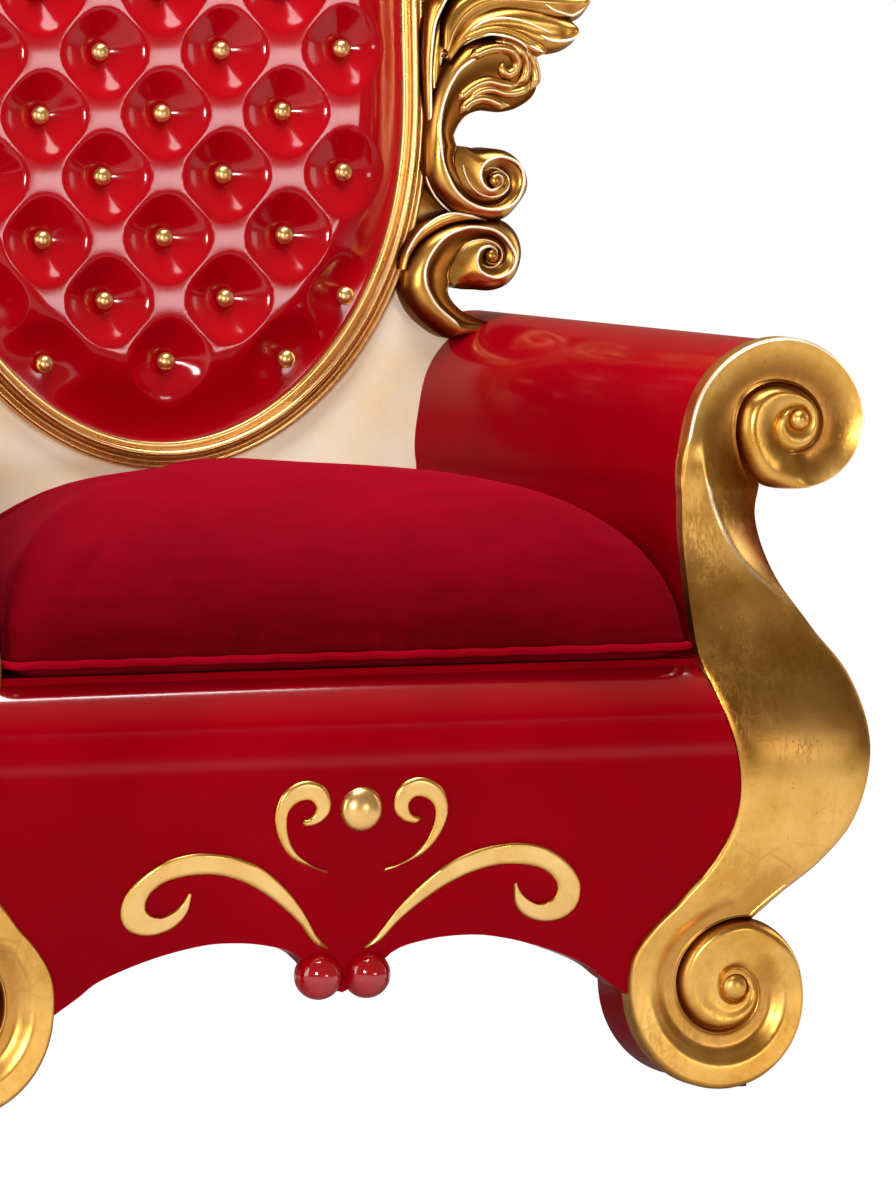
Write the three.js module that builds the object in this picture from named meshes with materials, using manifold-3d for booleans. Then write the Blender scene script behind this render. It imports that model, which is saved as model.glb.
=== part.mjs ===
// Carved throne with a tufted oval back: gold scroll fronts, red lacquered shell, velvet cushion.
// Millimetres. X runs across the seat, -Y is the front, Z is up. The floor is Z = 0.
import * as THREE from 'three';
import Module from 'manifold-3d';

const wasm = await Module();
wasm.setup();

// ---------------------------------------------------------------- main sizes
const FIT = 0.3;              // gap left between pieces that touch
const BULGE_FRONT = -400;     // foremost line of the swollen front
const BULGE_HEIGHT = 360;     // its height
const BULGE_RUN = 260;        // height over which it falls away, both ways
const FOOT_RECESS = 62;       // how far the feet stand behind it
const ARM_RECESS = 70;        // how far the arm volutes stand behind it
const SLAB = 26;              // thickness of the gold scroll fronts
const INSET = 5;              // red shell lies this far inside the gold edge
const APRON_RECESS = 10;      // red apron lies this far behind the gold
const SEAT_TOP = 468;
const UNDERSIDE = 188;
const BODY_REAR = 330;
const CORE_DEPTH = 88;        // red core behind each front foot
const GLIDE = { from: 438, to: 472 };   // flat glide under each front foot
const REAR_LEG = { front: 248, rear: 318 };
const LIP = 30;               // radius along the top front edge of the apron

const BACK_Y = 222;           // back plane at BACK_Z
const BACK_Z = 690;
const BACK_LEAN = 0.045;      // rise of Y with Z
const OVAL = { z: 1140, halfWidth: 285, below: 465, above: 395, fullness: 0.055, moulding: 30 };
const PLATE_FRONT = 8;        // behind the button plane
const PLATE_THICK = 32;
const DEPTH_REAR = 400;       // the domed rear shell ends here
const FRAME_SIDE = 398;       // half width of the plate behind the arms
const ARM_TAPER = 100;        // arms close in by this much from the gold to the back
const ARM_RISE = 4;           // and rise by this much

const BUTTON = { radius: 10.5, column: 70.5, row: 68, firstRow: 764, rows: 11 };
const PAD_RISE = 20;          // tuft crests in front of the button plane
const DIMPLE = 40;            // radius of a tuft dimple

const STEPS = 20;             // stations in one turn of a large volute
const SMALL_STEPS = 10;       // stations in one turn of a small volute
const S_STATIONS = 16;        // stations along the S between the volutes
const RIM_SIDES = 52;         // facets round the oval

// ---------------------------------------------------------------- colours
const RED_LACQUER = { color: 0xa30414, metalness: 0, roughness: 0.12 };
const VELVET = { color: 0x9c0022, metalness: 0, roughness: 0.9 };
const PATENT = { color: 0xa8061a, metalness: 0, roughness: 0.15 };
const GOLD_LEAF = { color: 0xc9983f, metalness: 1, roughness: 0.34 };
const BRIGHT_GOLD = { color: 0xd9ab4c, metalness: 1, roughness: 0.2 };

// ---------------------------------------------------------------- small helpers
const rad = (deg) => deg * Math.PI / 180;
const mix = (a, b, t) => a + (b - a) * t;
const clamp01 = (t) => Math.min(1, Math.max(0, t));
const ease = (t) => clamp01(t) ** 2 * (3 - 2 * clamp01(t));

// Smooth value through [position, value] pairs.
function valueThrough(pairs, at) {
  const last = pairs.length - 1;
  let i = 0;
  while (i < last - 1 && at > pairs[i + 1][0]) {
    i += 1;
  }
  const slope = (k) => {
    const a = pairs[Math.max(0, k - 1)];
    const b = pairs[Math.min(last, k + 1)];
    return (b[1] - a[1]) / (b[0] - a[0]);
  };
  const [x0, y0] = pairs[i];
  const [x1, y1] = pairs[i + 1];
  const w = x1 - x0;
  const t = clamp01((at - x0) / w);
  const t2 = t * t;
  const t3 = t2 * t;
  return (2 * t3 - 3 * t2 + 1) * y0 + (t3 - 2 * t2 + t) * w * slope(i)
    + (3 * t2 - 2 * t3) * y1 + (t3 - t2) * w * slope(i + 1);
}

// Smooth plane curve through points, at t from 0 to 1 by point number.
function pointThrough(points, t) {
  const place = t * (points.length - 1);
  const along = (axis) => valueThrough(points.map((p, k) => [k, p[axis]]), place);
  return [along(0), along(1)];
}

function curve(points, count) {
  return Array.from({ length: count + 1 }, (_, k) => pointThrough(points, k / count));
}

// Front of the gold at a height: the bombe swell shared by gold, apron and shell.
function frontY(z) {
  const recess = z < BULGE_HEIGHT ? FOOT_RECESS : ARM_RECESS;
  return BULGE_FRONT + recess * ease(Math.abs(z - BULGE_HEIGHT) / BULGE_RUN);
}

// Heights at which the shell's swollen surfaces are faceted.
const FACETS = [-10];
for (let k = 0; k <= 12; k += 1) {
  FACETS.push(100 + k * (BULGE_HEIGHT - 100) / 12);
}
for (let k = 1; k <= 6; k += 1) {
  FACETS.push(BULGE_HEIGHT + k * BULGE_RUN / 6);
}
FACETS.push(860);

function facetY(z) {
  let i = 0;
  while (i < FACETS.length - 2 && z > FACETS[i + 1]) {
    i += 1;
  }
  const t = (z - FACETS[i]) / (FACETS[i + 1] - FACETS[i]);
  return mix(frontY(FACETS[i]), frontY(FACETS[i + 1]), t);
}

const onBack = ([x, y, z]) => [x, BACK_Y + BACK_LEAN * (z - BACK_Z) + y, z];

// ---------------------------------------------------------------- solids
// Joins equal points and drops triangles that have closed up.
function weld(points, triangles) {
  const index = new Map();
  const kept = [];
  const renamed = points.map((p) => {
    const key = p.map((c) => Math.round(c * 1000)).join();
    if (!index.has(key)) {
      index.set(key, kept.length);
      kept.push(p);
    }
    return index.get(key);
  });
  const faces = triangles.map((t) => t.map((k) => renamed[k]));
  const whole = faces.filter(([a, b, c]) => a !== b && b !== c && c !== a);
  return { points: kept, triangles: whole };
}

function signedVolume(points, triangles) {
  const v = (k) => new THREE.Vector3(...points[k]);
  return triangles.reduce((sum, [a, b, c]) => sum + v(a).dot(v(b).cross(v(c))) / 6, 0);
}

function solidFrom(points, triangles) {
  const shape = weld(points, triangles);
  const outwards = signedVolume(shape.points, shape.triangles) > 0;
  const faces = outwards ? shape.triangles : shape.triangles.map(([a, b, c]) => [a, c, b]);
  return new wasm.Manifold(new wasm.Mesh({
    numProp: 3,
    vertProperties: Float32Array.from(shape.points.flat()),
    triVerts: Uint32Array.from(faces.flat()),
  }));
}

function flatCap(loop) {
  const contour = loop.map(([u, v]) => new THREE.Vector2(u, v));
  return THREE.ShapeUtils.triangulateShape(contour, []);
}

// Closed skin over rings of equal length; the end rings are capped across (u, v).
function loft(rings, capPlane = (p) => [p[0], p[2]]) {
  const n = rings[0].length;
  const points = rings.flat();
  const triangles = [];
  for (let r = 0; r + 1 < rings.length; r += 1) {
    for (let k = 0; k < n; k += 1) {
      const a = r * n + k;
      const b = r * n + (k + 1) % n;
      triangles.push([a, b, b + n], [a, b + n, a + n]);
    }
  }
  const top = (rings.length - 1) * n;
  flatCap(rings[0].map(capPlane)).forEach((t) => triangles.push(t));
  flatCap(rings.at(-1).map(capPlane)).forEach((t) => triangles.push(t.map((k) => top + k)));
  return orientedSolid(points, triangles);
}

// Front-view outline carried straight back.
const frontPrism = (outline, y0, y1) => loft([y0, y1].map((y) => outline.map(([x, z]) => [x, y, z])));

// Side-view outline carried across the width.
const sidePrism = (outline, x0, x1) => loft(
  [x0, x1].map((x) => outline.map(([y, z]) => [x, y, z])), (p) => [p[1], p[2]]);

function block(x0, x1, y0, y1, z0, z1) {
  return frontPrism([[x0, z0], [x1, z0], [x1, z1], [x0, z1]], y0, y1);
}

function ellipse(cx, cz, rx, rz, count) {
  return Array.from({ length: count }, (_, k) => {
    const a = 2 * Math.PI * k / count;
    return [cx + rx * Math.cos(a), cz + rz * Math.sin(a)];
  });
}

// Space in front of (or behind) the swollen surface, moved back by an offset.
function beforeSwell(offset, frontLimit = -520) {
  const edge = FACETS.map((z) => [frontY(z) + offset, z]);
  return sidePrism([...edge, [frontLimit, 860], [frontLimit, -10]], -700, 700);
}

function behindSwell(offset, rearLimit = 450) {
  const edge = FACETS.map((z) => [frontY(z) + offset, z]);
  return sidePrism([...edge, [rearLimit, 860], [rearLimit, -10]], -700, 700);
}

// Points in order round the open rim of a skin: its edges used by one triangle only.
function rimLoop(triangles) {
  const used = new Map();
  triangles.forEach(([a, b, c]) => [[a, b], [b, c], [c, a]].forEach(([p, q]) => {
    const key = p < q ? `${p},${q}` : `${q},${p}`;
    used.set(key, (used.get(key) ?? 0) + 1);
  }));
  const beside = new Map();
  [...used].filter(([, times]) => times === 1).forEach(([key]) => {
    const [p, q] = key.split(',').map(Number);
    beside.set(p, [...(beside.get(p) ?? []), q]);
    beside.set(q, [...(beside.get(q) ?? []), p]);
  });
  const start = beside.keys().next().value;
  const loop = [start];
  let from = start;
  let at = beside.get(start)[0];
  while (at !== start) {
    loop.push(at);
    const next = beside.get(at).find((p) => p !== from);
    from = at;
    at = next;
  }
  return loop;
}

// Closes a front-facing relief skin with a wall round its rim and a flat back.
function reliefSolid(points, triangles, backY) {
  const skin = weld(points, triangles);
  const loop = rimLoop(skin.triangles);
  const n = loop.length;
  const first = skin.points.length;
  const back = loop.map((k) => [skin.points[k][0], backY, skin.points[k][2]]);
  const faces = [...skin.triangles];
  loop.forEach((p, k) => {
    const q = loop[(k + 1) % n];
    faces.push([q, p, first + k], [q, first + k, first + (k + 1) % n]);
  });
  flatCap(back.map(([x, , z]) => [x, z])).forEach((t) => faces.push(t.map((k) => first + k)));
  return orientedSolid([...skin.points, ...back], faces);
}

// Turns every triangle to agree with its neighbours before the solid is made.
function orientedSolid(points, triangles) {
  const faces = triangles.map((t) => [...t]);
  const byEdge = new Map();
  faces.forEach((t, k) => {
    for (let e = 0; e < 3; e += 1) {
      const key = [t[e], t[(e + 1) % 3]].sort((a, b) => a - b).join();
      byEdge.set(key, [...(byEdge.get(key) ?? []), k]);
    }
  });
  const done = new Set([0]);
  const queue = [0];
  while (queue.length > 0) {
    const k = queue.pop();
    for (let e = 0; e < 3; e += 1) {
      const a = faces[k][e];
      const b = faces[k][(e + 1) % 3];
      const key = [a, b].sort((p, q) => p - q).join();
      byEdge.get(key).filter((other) => !done.has(other)).forEach((other) => {
        const t = faces[other];
        const at = t.indexOf(a);
        if (t[(at + 1) % 3] === b) {
          t.reverse();
        }
        done.add(other);
        queue.push(other);
      });
    }
  }
  return solidFrom(points, faces);
}

// ---------------------------------------------------------------- scroll bands
// A spiral edge: centre, direction (+1 anticlockwise seen from the front), radius by
// turned angle, the angle at which the band joins its volute, and the eye it ends on.
function spiralPoint(v, turned) {
  const joined = v.join;
  const lead = turned < v.full ? mix(v.first, v.full, (turned - joined) / (v.full - joined)) : turned;
  const drift = ease((turned - v.driftFrom) / (v.end - v.driftFrom));
  const cx = v.centre[0] + drift * v.drift[0];
  const cz = v.centre[1] + drift * v.drift[1];
  const r = valueThrough(v.radii, Math.min(lead, v.end));
  const a = rad(v.turn > 0 ? lead : 180 - lead);
  return [cx + r * Math.cos(a), cz + r * Math.sin(a)];
}

// Stations of a volute from its join inwards: outer edge, inner edge, turned angle.
function voluteStations(v, stepsPerTurn) {
  const step = 360 / stepsPerTurn;
  const count = Math.round((v.end - v.join) / step);
  return Array.from({ length: count + 1 }, (_, k) => {
    const turned = v.join + k * step;
    return {
      outer: spiralPoint(v, turned),
      inner: spiralPoint(v, turned + 360),
      turned: turned - v.join,
    };
  });
}

// Depth of the carved face behind its crest line, across the band (u from 0 to 1).
function carvedDepth({ rim, crest, far, hollow }, u) {
  if (u < crest) {
    return rim * (1 - u / crest) ** 2;
  }
  const t = (u - crest) / (1 - crest);
  return far * mix(t * t, 1 - (1 - t) ** 2, hollow);
}

// Relief skin over stations; each station carries its own section.
function bandSkin(stations, across, surface) {
  const points = [];
  const triangles = [];
  const width = across.length;
  stations.forEach((s) => {
    const bandWidth = Math.hypot(s.outer[0] - s.inner[0], s.outer[1] - s.inner[1]);
    const fullness = clamp01(bandWidth / 10);
    const edgeDepth = Math.max(s.section.rim, s.section.far);
    across.forEach((share, k) => {
      const crest = s.section.crest;
      const u = k === 0 || k === width - 1 ? share : (share < 0.3 ? crest : mix(crest, 1, share));
      const x = mix(s.outer[0], s.inner[0], u);
      const z = mix(s.outer[1], s.inner[1], u);
      points.push([x, surface(z) + mix(edgeDepth, carvedDepth(s.section, u), fullness), z]);
    });
  });
  for (let s = 0; s + 1 < stations.length; s += 1) {
    for (let k = 0; k + 1 < width; k += 1) {
      const a = s * width + k;
      triangles.push([a, a + 1, a + width + 1], [a, a + width + 1, a + width]);
    }
  }
  return { points, triangles };
}

// Domed eye that fills the end circle of a volute.
function eyeSkin(v, stepsPerTurn, surface, grooveDepth, proud) {
  const ring = Array.from({ length: stepsPerTurn }, (_, k) => (
    spiralPoint(v, v.end + 360 * k / stepsPerTurn)));
  const cx = v.centre[0] + v.drift[0];
  const cz = v.centre[1] + v.drift[1];
  const points = ring.map(([x, z]) => [x, surface(z) + grooveDepth, z]);
  ring.forEach(([x, z]) => {
    points.push([mix(cx, x, 0.62), surface(cz) + mix(-proud, grooveDepth, 0.3), mix(cz, z, 0.62)]);
  });
  points.push([cx, surface(cz) - proud, cz]);
  const triangles = [];
  const n = stepsPerTurn;
  for (let k = 0; k < n; k += 1) {
    const b = (k + 1) % n;
    triangles.push([k, b, n + b], [k, n + b, n + k], [n + k, n + b, 2 * n]);
  }
  return { points, triangles };
}

function joinSkins(skins) {
  const points = [];
  const triangles = [];
  skins.forEach((skin) => {
    const first = points.length;
    points.push(...skin.points);
    triangles.push(...skin.triangles.map((t) => t.map((k) => k + first)));
  });
  return { points, triangles };
}

// Makes all triangles of a skin face the front (-Y).
function faceFront({ points, triangles }) {
  const turned = triangles.map(([a, b, c]) => {
    const [p, q, r] = [points[a], points[b], points[c]];
    const area = (q[0] - p[0]) * (r[2] - p[2]) - (q[2] - p[2]) * (r[0] - p[0]);
    return area > 0 ? [a, b, c] : [a, c, b];
  });
  return { points, triangles: turned };
}

// ---------------------------------------------------------------- gold scroll front
const FOOT_VOLUTE = {
  centre: [443, 105], drift: [7, 5], driftFrom: 720, turn: 1,
  join: 72, first: 108, full: 180, end: 900,
  radii: [[108, 136], [124, 121], [140, 118.5], [160, 119.5], [180, 115.5], [270, 104],
    [360, 86], [432, 83], [450, 79], [540, 56], [630, 39], [720, 31], [810, 23], [900, 14]],
};
const ARM_VOLUTE = {
  centre: [522, 711], drift: [5, 9], driftFrom: 630, turn: -1,
  join: -60, first: -28.5, full: 0, end: 858,
  radii: [[-28.5, 147], [-5, 125.5], [20, 117], [50, 107.5], [90, 97], [135, 86], [180, 80],
    [225, 71.5], [270, 66], [300, 69], [330, 63], [360, 63], [395, 62], [450, 43],
    [490, 34.5], [540, 29], [630, 24.5], [720, 23.5], [800, 15], [858, 11]],
};
// Seat side and outer side of the S between the two volutes, foot to arm.
const S_SEAT_SIDE = [[400, 234], [415, 257], [429, 288], [434, 325], [430, 365], [421, 400],
  [408, 435], [396, 472], [394, 517], [394, 562], [393, 602], [393, 641]];
const S_OUTER_SIDE = [[468, 184], [500, 214], [535, 245], [566, 288], [581, 345], [580, 398],
  [562, 453], [530, 496], [503, 538], [491, 574], [482, 618], [487, 650]];

function sStations() {
  const seat = curve(S_SEAT_SIDE, S_STATIONS);
  const far = curve(S_OUTER_SIDE, S_STATIONS);
  return seat.map((outer, k) => ({ outer, inner: far[k], share: k / S_STATIONS }));
}

// The flank narrows from the arm volute down to nothing on the outer side.
const flankCrest = (share) => mix(0.8, 0.34, ease((share - 0.55) / 0.4));

function scrollFront() {
  const groove = 16;
  const voluteSection = (s, mirrored) => {
    const outerTurn = 1 - ease((s.turned - 240) / 120);
    return {
      rim: mix(groove, 6, outerTurn),
      crest: mix(0.42, mirrored ? 0.22 : 0.3, outerTurn),
      far: groove,
      hollow: 0.75 * outerTurn,
    };
  };
  const foot = voluteStations(FOOT_VOLUTE, STEPS).map((s) => ({ ...s, section: voluteSection(s, false) }));
  const arm = voluteStations(ARM_VOLUTE, STEPS).map((s) => ({ ...s, section: voluteSection(s, true) }));
  const body = sStations().map((s) => ({
    ...s,
    section: {
      rim: mix(6, 9, ease((s.share - 0.56) / 0.16)),
      crest: flankCrest(s.share),
      far: mix(mix(groove, 5, ease(s.share / 0.2)), 20, ease((s.share - 0.62) / 0.3)),
      hollow: mix(0.75, 0, ease(s.share / 0.2)) + 0.75 * ease((s.share - 0.62) / 0.3),
    },
  }));
  foot[0].section = body[0].section;
  arm[0].section = body.at(-1).section;
  const stations = [...foot.slice(1).reverse(), ...body, ...arm.slice(1)];
  const across = [0, 0.22, 0.4, 0.75, 1];
  const skin = faceFront(joinSkins([
    bandSkin(stations, across, frontY),
    eyeSkin(FOOT_VOLUTE, STEPS, frontY, groove, 0),
    eyeSkin(ARM_VOLUTE, STEPS, frontY, groove, 0),
  ]));
  return reliefSolid(skin.points, skin.triangles, -200).intersect(beforeSwell(SLAB));
}

// Outline of the scroll front as one closed loop, up the seat side and down the outside.
function scrollLoop() {
  const around = (v) => voluteStations(v, STEPS).slice(1, STEPS).map((s) => s.outer);
  const body = sStations();
  return [
    ...body.map((s) => s.outer),
    ...around(ARM_VOLUTE),
    ...body.map((s) => s.inner).reverse(),
    ...around(FOOT_VOLUTE).reverse(),
  ];
}

function insetLoop(loop, distance) {
  const n = loop.length;
  const sense = Math.sign(THREE.ShapeUtils.area(loop.map(([x, z]) => new THREE.Vector2(x, z))));
  return loop.map(([x, z], k) => {
    const [ax, az] = loop[(k + n - 1) % n];
    const [bx, bz] = loop[(k + 1) % n];
    const length = Math.hypot(bx - ax, bz - az);
    return [x - sense * distance * (bz - az) / length, z + sense * distance * (bx - ax) / length];
  });
}

// ---------------------------------------------------------------- red shell
// Lower edge of the apron, middle to foot: a cusp, a long arch, then the foot.
const APRON_EDGE = [[0, 120], [26, 134], [55, 163], [90, 174], [127, 178], [166, 176], [221, 163],
  [275, 142], [300, 124], [330, 104]];

// Half width of the shell at a height, this far inside the gold's outer side.
function outerSideAt(height, inwards) {
  const first = S_STATIONS + STEPS;
  const side = insetLoop(scrollLoop(), inwards).slice(first, first + S_STATIONS + 1).reverse();
  const above = side.findIndex(([, z]) => z > height);
  const [x0, z0] = side[above - 1];
  const [x1, z1] = side[above];
  return mix(x0, x1, (height - z0) / (z1 - z0));
}

// Region between the throne's middle and the seat side of the gold, moved sideways.
function seatSideRegion(sideways) {
  const foot = voluteStations(FOOT_VOLUTE, STEPS).slice(1, 11).map((p) => p.outer).reverse();
  const edge = [...foot, ...sStations().map((p) => p.outer)];
  const kept = insetLoop([...edge, [900, 645], [900, 0]], sideways).slice(1, edge.length - 1);
  return [[0, kept[0][1]], ...kept, [0, kept.at(-1)[1]]];
}

// Rear bracket leg in front view: it leaves the side's swell and flares to the floor.
const LEG_OUTER = [[566, 352], [578, 250], [582, 130], [591, 50], [600, 0]];
const LEG_INNER = [[566, 0], [560, 60], [545, 118], [505, 162], [450, 182]];

// Half of the seat body: deck, swollen side, foot core, rear leg and apron panel.
function seatBodyHalf() {
  const sideStart = S_STATIONS + STEPS;
  const flank = insetLoop(scrollLoop(), INSET).slice(sideStart, sideStart + S_STATIONS + 1)
    .reverse().filter(([, z]) => z > UNDERSIDE + 4 && z < SEAT_TOP - 4);
  const section = [[0, UNDERSIDE], [flank[0][0] - 8, UNDERSIDE], ...flank,
    [outerSideAt(SEAT_TOP, INSET), SEAT_TOP], [0, SEAT_TOP]];
  const box = frontPrism(section, -450, BODY_REAR);
  const panel = frontPrism([...curve(APRON_EDGE, 24), [345, UNDERSIDE + 8], [0, UNDERSIDE + 8]], -450, -300);
  const coreFront = frontY(0) + SLAB + FIT;
  const disc = voluteStations(FOOT_VOLUTE, STEPS).slice(0, STEPS).map((p) => p.outer);
  const core = frontPrism(insetLoop(disc, INSET), -450, coreFront + CORE_DEPTH);
  const glide = block(GLIDE.from, GLIDE.to, coreFront, coreFront + CORE_DEPTH - 14, 0, 40);
  const legOutline = [...curve(LEG_OUTER, 10), ...curve(LEG_INNER, 10), [450, 352]];
  const rearLeg = frontPrism(legOutline, REAR_LEG.front, REAR_LEG.rear);
  const apronZone = frontPrism(seatSideRegion(-FIT), -450, -250).intersect(behindSwell(APRON_RECESS));
  const above = SEAT_TOP + 20;
  const lip = sidePrism([[-450, above], [-450, SEAT_TOP - LIP], ...roundedLip(), [-320, above]], -10, 700);
  const red = box.add(core).add(panel).subtract(lip);
  return red.intersect(apronZone.add(behindSwell(SLAB + FIT))).add(glide).add(rearLeg);
}

// Quarter round along the top front edge of the apron.
function roundedLip() {
  const r = LIP;
  const front = facetY(SEAT_TOP - r) + APRON_RECESS;
  return Array.from({ length: 5 }, (_, k) => {
    const a = rad(90 * k / 4);
    return [front + r - r * Math.cos(a), SEAT_TOP - r + r * Math.sin(a)];
  });
}

// Arm: the scroll's upper outline drawn back to the plate, closing in as it goes.
function armShape(inwards) {
  const inset = insetLoop(scrollLoop(), inwards);
  const base = SEAT_TOP + FIT;
  const kept = inset.slice(0, 2 * S_STATIONS + STEPS + 1).filter(([, z]) => z > base + 6);
  const foot = [[outerSideAt(SEAT_TOP, inwards), base], [kept[0][0], base]];
  const front = [...kept, ...foot];
  const seatSide = kept.indexOf(kept.find(([, z]) => z > 642));
  const closing = ([x, z], k) => (k > seatSide && x > 420 ? ease((z - base) / 180) : 1);
  const start = BULGE_FRONT + ARM_RECESS + SLAB;
  const rings = [-450, start, 0, BODY_REAR - 30].map((y) => front.map(([x, z], k) => {
    const share = Math.max(0, (y - start) / (BACK_Y - start));
    const rise = ARM_RISE * share * ease((z - base) / 180);
    return [x - ARM_TAPER * share * closing([x, z], k), y, z + rise];
  }));
  return loft(rings);
}

function armHalf() {
  const side = FRAME_SIDE + 4;
  const base = SEAT_TOP - 5;
  const wrap = onBackPrism([[-10, base], [side, base], [side, 900], [-10, 900]], PLATE_FRONT - FIT, 200);
  return armShape(INSET).intersect(behindSwell(SLAB + FIT)).subtract(wrap);
}

// ---------------------------------------------------------------- back
// Front-view outline between two depths measured from the leaning button plane.
function onBackPrism(outline, y0, y1) {
  return loft([y0, y1].map((y) => outline.map(([x, z]) => onBack([x, y, z]))));
}

const leaned = (solid) => solid.warp((v) => {
  v[1] += BACK_Y + BACK_LEAN * (v[2] - BACK_Z);
});

// Oval of the back at a distance outside the moulding's inner edge: two half ellipses,
// a little fuller on the diagonals.
function ovalPoint(grow, angle) {
  const c = Math.cos(angle);
  const s = Math.sin(angle);
  const height = (s < 0 ? OVAL.below : OVAL.above) + grow;
  const fuller = 1 + OVAL.fullness * Math.sin(2 * angle) ** 2;
  const r = fuller / Math.hypot(c / (OVAL.halfWidth + grow), s / height);
  return [r * c, OVAL.z + r * s];
}

function oval(grow) {
  return Array.from({ length: RIM_SIDES }, (_, k) => ovalPoint(grow, 2 * Math.PI * k / RIM_SIDES));
}

const LOWER_C = {
  centre: [379, 874], drift: [0, 0], driftFrom: 600, turn: -1, join: -29, first: -11, full: 12, end: 691,
  radii: [[-11, 105], [12, 84], [33, 62], [65, 42], [108, 41], [190, 36], [229, 37], [296, 42],
    [331, 58], [360, 43], [400, 30], [450, 21], [540, 15], [630, 11], [691, 8]],
};
const LOWER_C_STEM = {
  outer: [[384, 790], [352, 786], [325, 784], [300, 799], [284, 817], [276, 838], [276, 854]],
  inner: [[386, 797], [368, 802], [350, 809], [338, 817], [329, 827], [326, 836], [328, 846]],
};
const UPPER_C = {
  centre: [383, 957], drift: [0, 0], driftFrom: 800, turn: 1, join: 141, first: 152, full: 199, end: 861,
  radii: [[152, 90], [164, 84], [180, 78], [199, 66], [219, 57], [247, 47], [282, 44], [314, 39], [351, 40],
    [385, 37], [423, 35], [461, 35], [480, 39], [501, 57], [540, 42], [585, 32], [630, 24], [720, 17],
    [810, 11], [861, 8]],
};
const UPPER_C_STEM = {
  outer: [[433, 1089], [413, 1110], [384, 1117], [354, 1112], [330, 1090], [316, 1062], [307, 1030],
    [303, 1000]],
  inner: [[437, 1080], [430, 1052], [410, 1037], [388, 1032], [365, 1034], [347, 1027], [335, 1009],
    [338, 993]],
};
// Lobes of an acanthus leaf between a lower and an upper edge; the lowest stands foremost.
const LEAF_LOBES = [
  {
    proud: 40,
    outer: [[327, 1091], [339, 1105], [364, 1114], [388, 1113], [406, 1105], [423, 1094], [433, 1092],
      [442, 1098]],
    inner: [[323, 1094], [336, 1110], [352, 1123], [378, 1131], [406, 1128], [427, 1118], [440, 1107],
      [442, 1098]],
  },
  {
    proud: 38,
    outer: [[330, 1088], [347, 1106], [370, 1117], [399, 1116], [423, 1107], [439, 1096], [454, 1096],
      [468, 1101], [479, 1110], [483, 1121]],
    inner: [[324, 1100], [339, 1120], [355, 1137], [379, 1147], [406, 1151], [436, 1147], [459, 1139],
      [474, 1133], [483, 1121]],
  },
  {
    proud: 34,
    outer: [[331, 1095], [347, 1116], [367, 1132], [395, 1143], [424, 1140], [447, 1133], [464, 1129],
      [480, 1131], [492, 1140], [499, 1155]],
    inner: [[321, 1106], [324, 1133], [336, 1155], [360, 1168], [392, 1174], [427, 1176], [458, 1173],
      [484, 1167], [499, 1155]],
  },
];

// Stations of a plain tapering band given by its two edges.
function bandStations({ outer, inner }, count, section) {
  const near = curve(outer, count);
  const far = curve(inner, count);
  return near.map((p, k) => ({ outer: p, inner: far[k], section: section(k / count) }));
}

// A C-shaped scroll on the back: a stem that winds into one volute.
function cScroll(volute, stem, proud) {
  const groove = 9;
  const surface = () => -proud;
  const winding = voluteStations(volute, SMALL_STEPS).map((s) => {
    const outerTurn = 1 - ease((s.turned - 240) / 120);
    const section = { rim: mix(groove, 7, outerTurn), crest: 0.42, far: groove, hollow: 0.6 * outerTurn };
    return { ...s, section };
  });
  const along = bandStations(stem, 9, (t) => ({ rim: 7, crest: 0.35, far: mix(5, groove, t), hollow: 0.6 }));
  const stations = [...along, ...winding.slice(1)];
  const across = [0, 0.25, 1];
  const skin = faceFront(joinSkins([
    bandSkin(stations, across, surface),
    eyeSkin(volute, SMALL_STEPS, surface, groove, 2),
  ]));
  return reliefSolid(skin.points, skin.triangles, PLATE_FRONT + 14);
}

function leaf(setBack) {
  const section = { rim: 10, crest: 0.3, far: 10, hollow: 0 };
  return wasm.Manifold.union(LEAF_LOBES.map((lobe) => {
    const stations = bandStations(lobe, 9, () => section);
    const skin = faceFront(bandSkin(stations, [0, 0.3, 0.7, 1], () => setBack - lobe.proud));
    return reliefSolid(skin.points, skin.triangles, PLATE_FRONT + 16);
  }));
}

// Carries carving to the upper half of the frame: upside down, turned to follow the oval.
const UPPER_TURN = { about: [300, 1165], to: [282, 1178], angle: 15 };

function carriedUp(solid) {
  const { about, to, angle } = UPPER_TURN;
  return solid.translate([-about[0], 0, -about[1]]).mirror([0, 0, 1]).rotate([0, -angle, 0])
    .translate([to[0], 0, to[1]]);
}

// Turns carving about the middle of the oval and moves it outwards, for the crown.
function carriedRound(solid) {
  return solid.translate([0, 0, -OVAL.z]).rotate([0, -80, 0]).translate([10, 0, OVAL.z + 30]);
}

const CREST = { foot: 1560, top: 1795, lobes: 7, spread: 62 };

// Fan of lobes that crowns the frame.
function crestFan() {
  const lobes = Array.from({ length: CREST.lobes }, (_, k) => {
    const a = rad(mix(-CREST.spread, CREST.spread, k / (CREST.lobes - 1)));
    const length = (CREST.top - CREST.foot) * (0.72 + 0.28 * Math.cos(a * 1.2));
    const width = 33;
    const ring = (size, y, grow) => Array.from({ length: 14 }, (__, j) => {
      const b = 2 * Math.PI * j / 14;
      const along = length / 2 + length / 2 * Math.cos(b) * size;
      const side = width * Math.sin(b) * size * (0.35 + 0.65 * along / length) * grow;
      const up = along * Math.cos(a) - side * Math.sin(a);
      return [side * Math.cos(a) + along * Math.sin(a), y, CREST.foot - 30 + up];
    });
    return loft([ring(1, PLATE_FRONT + 16, 1), ring(1, -16, 1), ring(0.72, -30, 0.8)]);
  });
  return wasm.Manifold.union(lobes);
}

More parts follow.
